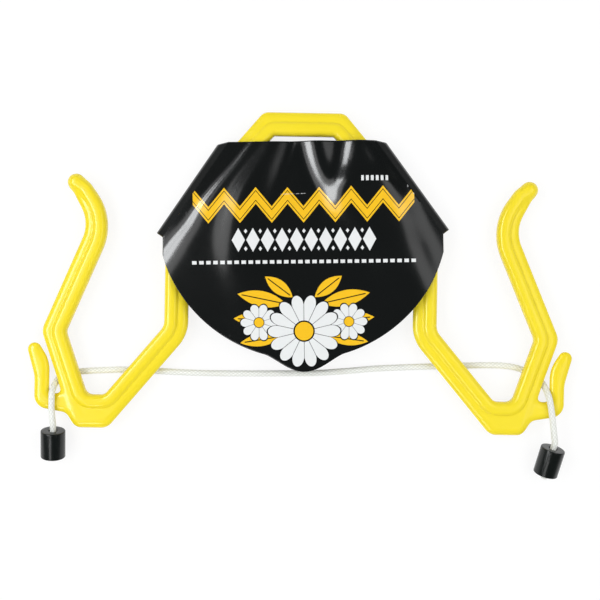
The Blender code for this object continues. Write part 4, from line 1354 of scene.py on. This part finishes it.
def bare_tree(thing):
    """The empty node tree of a new material or world, and the signals of its kinds of ray."""
    thing.use_nodes = True
    tree = thing.node_tree
    tree.nodes.clear()
    path = tree.nodes.new("ShaderNodeLightPath")
    kinds = ("Is Camera Ray", "Is Glossy Ray", "Is Transmission Ray")
    return tree, [Signal(tree, path.outputs[kind]) for kind in kinds]


def make_floor():
    """A wide pale floor that shows as white and keeps the soft shadow of the yoke."""
    reach, level = 6.0, -0.0002
    points = np.array([(x * reach, y * reach, level) for x, y in ((-1, -1), (1, -1), (1, 1), (-1, 1))])
    floor = mesh_object("floor", points, [[0, 1, 2, 3]])
    material = bpy.data.materials.new("white floor")
    tree, (camera, mirror, through) = bare_tree(material)
    seen = (camera + mirror + through).both(1.0) * 0.80
    matte = tree.nodes.new("ShaderNodeBsdfDiffuse")
    matte.inputs["Color"].default_value = FLOOR_WHITE
    glow = tree.nodes.new("ShaderNodeEmission")
    glow.inputs["Strength"].default_value = 1.05
    mix = tree.nodes.new("ShaderNodeMixShader")
    out = tree.nodes.new("ShaderNodeOutputMaterial")
    tree.links.new(seen.out, mix.inputs[0])
    tree.links.new(matte.outputs[0], mix.inputs[1])
    tree.links.new(glow.outputs[0], mix.inputs[2])
    tree.links.new(mix.outputs[0], out.inputs["Surface"])
    floor.data.materials.append(material)


def make_world():
    """White behind the object, an even plain light, and in reflections pale low down and dim overhead."""
    world = bpy.data.worlds.new("studio")
    bpy.context.scene.world = world
    tree, (camera, mirror, through) = bare_tree(world)
    mirror = (mirror + through).both(1.0)
    spot = tree.nodes.new("ShaderNodeTexCoord")
    split = tree.nodes.new("ShaderNodeSeparateXYZ")
    tree.links.new(spot.outputs["Generated"], split.inputs[0])
    up = Signal(tree, split.outputs[2])
    backdrop = 0.27 - ((up - 0.05) / 0.45).both(1.0).either(0.0) * 0.23
    level = camera + (1.0 - camera) * (mirror * backdrop + (1.0 - mirror) * 0.51)
    shade = tree.nodes.new("ShaderNodeBackground")
    out = tree.nodes.new("ShaderNodeOutputWorld")
    shade.inputs["Color"].default_value = PLAIN_WHITE
    tree.links.new(level.out, shade.inputs["Strength"])
    tree.links.new(shade.outputs[0], out.inputs["Surface"])


def make_lamp(name, place, aim, width, depth, power, colour, mirrored, matte):
    """A soft rectangular lamp turned to a point."""
    data = bpy.data.lights.new(name, "AREA")
    data.shape = "RECTANGLE"
    data.size = width
    data.size_y = depth
    data.energy = power
    data.color = colour
    made = bpy.data.objects.new(name, data)
    made.location = place
    way = np.subtract(aim, place)
    flat = math.hypot(way[0], way[1])
    made.rotation_euler = (math.atan2(flat, -way[2]), 0.0, math.atan2(way[1], way[0]) - math.pi / 2)
    made.visible_camera = False
    made.visible_glossy = mirrored
    made.visible_diffuse = matte
    bpy.context.scene.collection.objects.link(made)


def main():
    """Make every piece, the camera first and then the cords."""
    make_camera()
    cord_finish = braided_cord()
    tails = make_cord(cord_finish)
    make_ends(cord_finish)
    make_yoke()
    make_card()
    make_floor()
    make_world()
    for lamp in LAMPS:
        make_lamp(*lamp)
    bpy.context.scene.view_settings.view_transform = "Standard"


main()
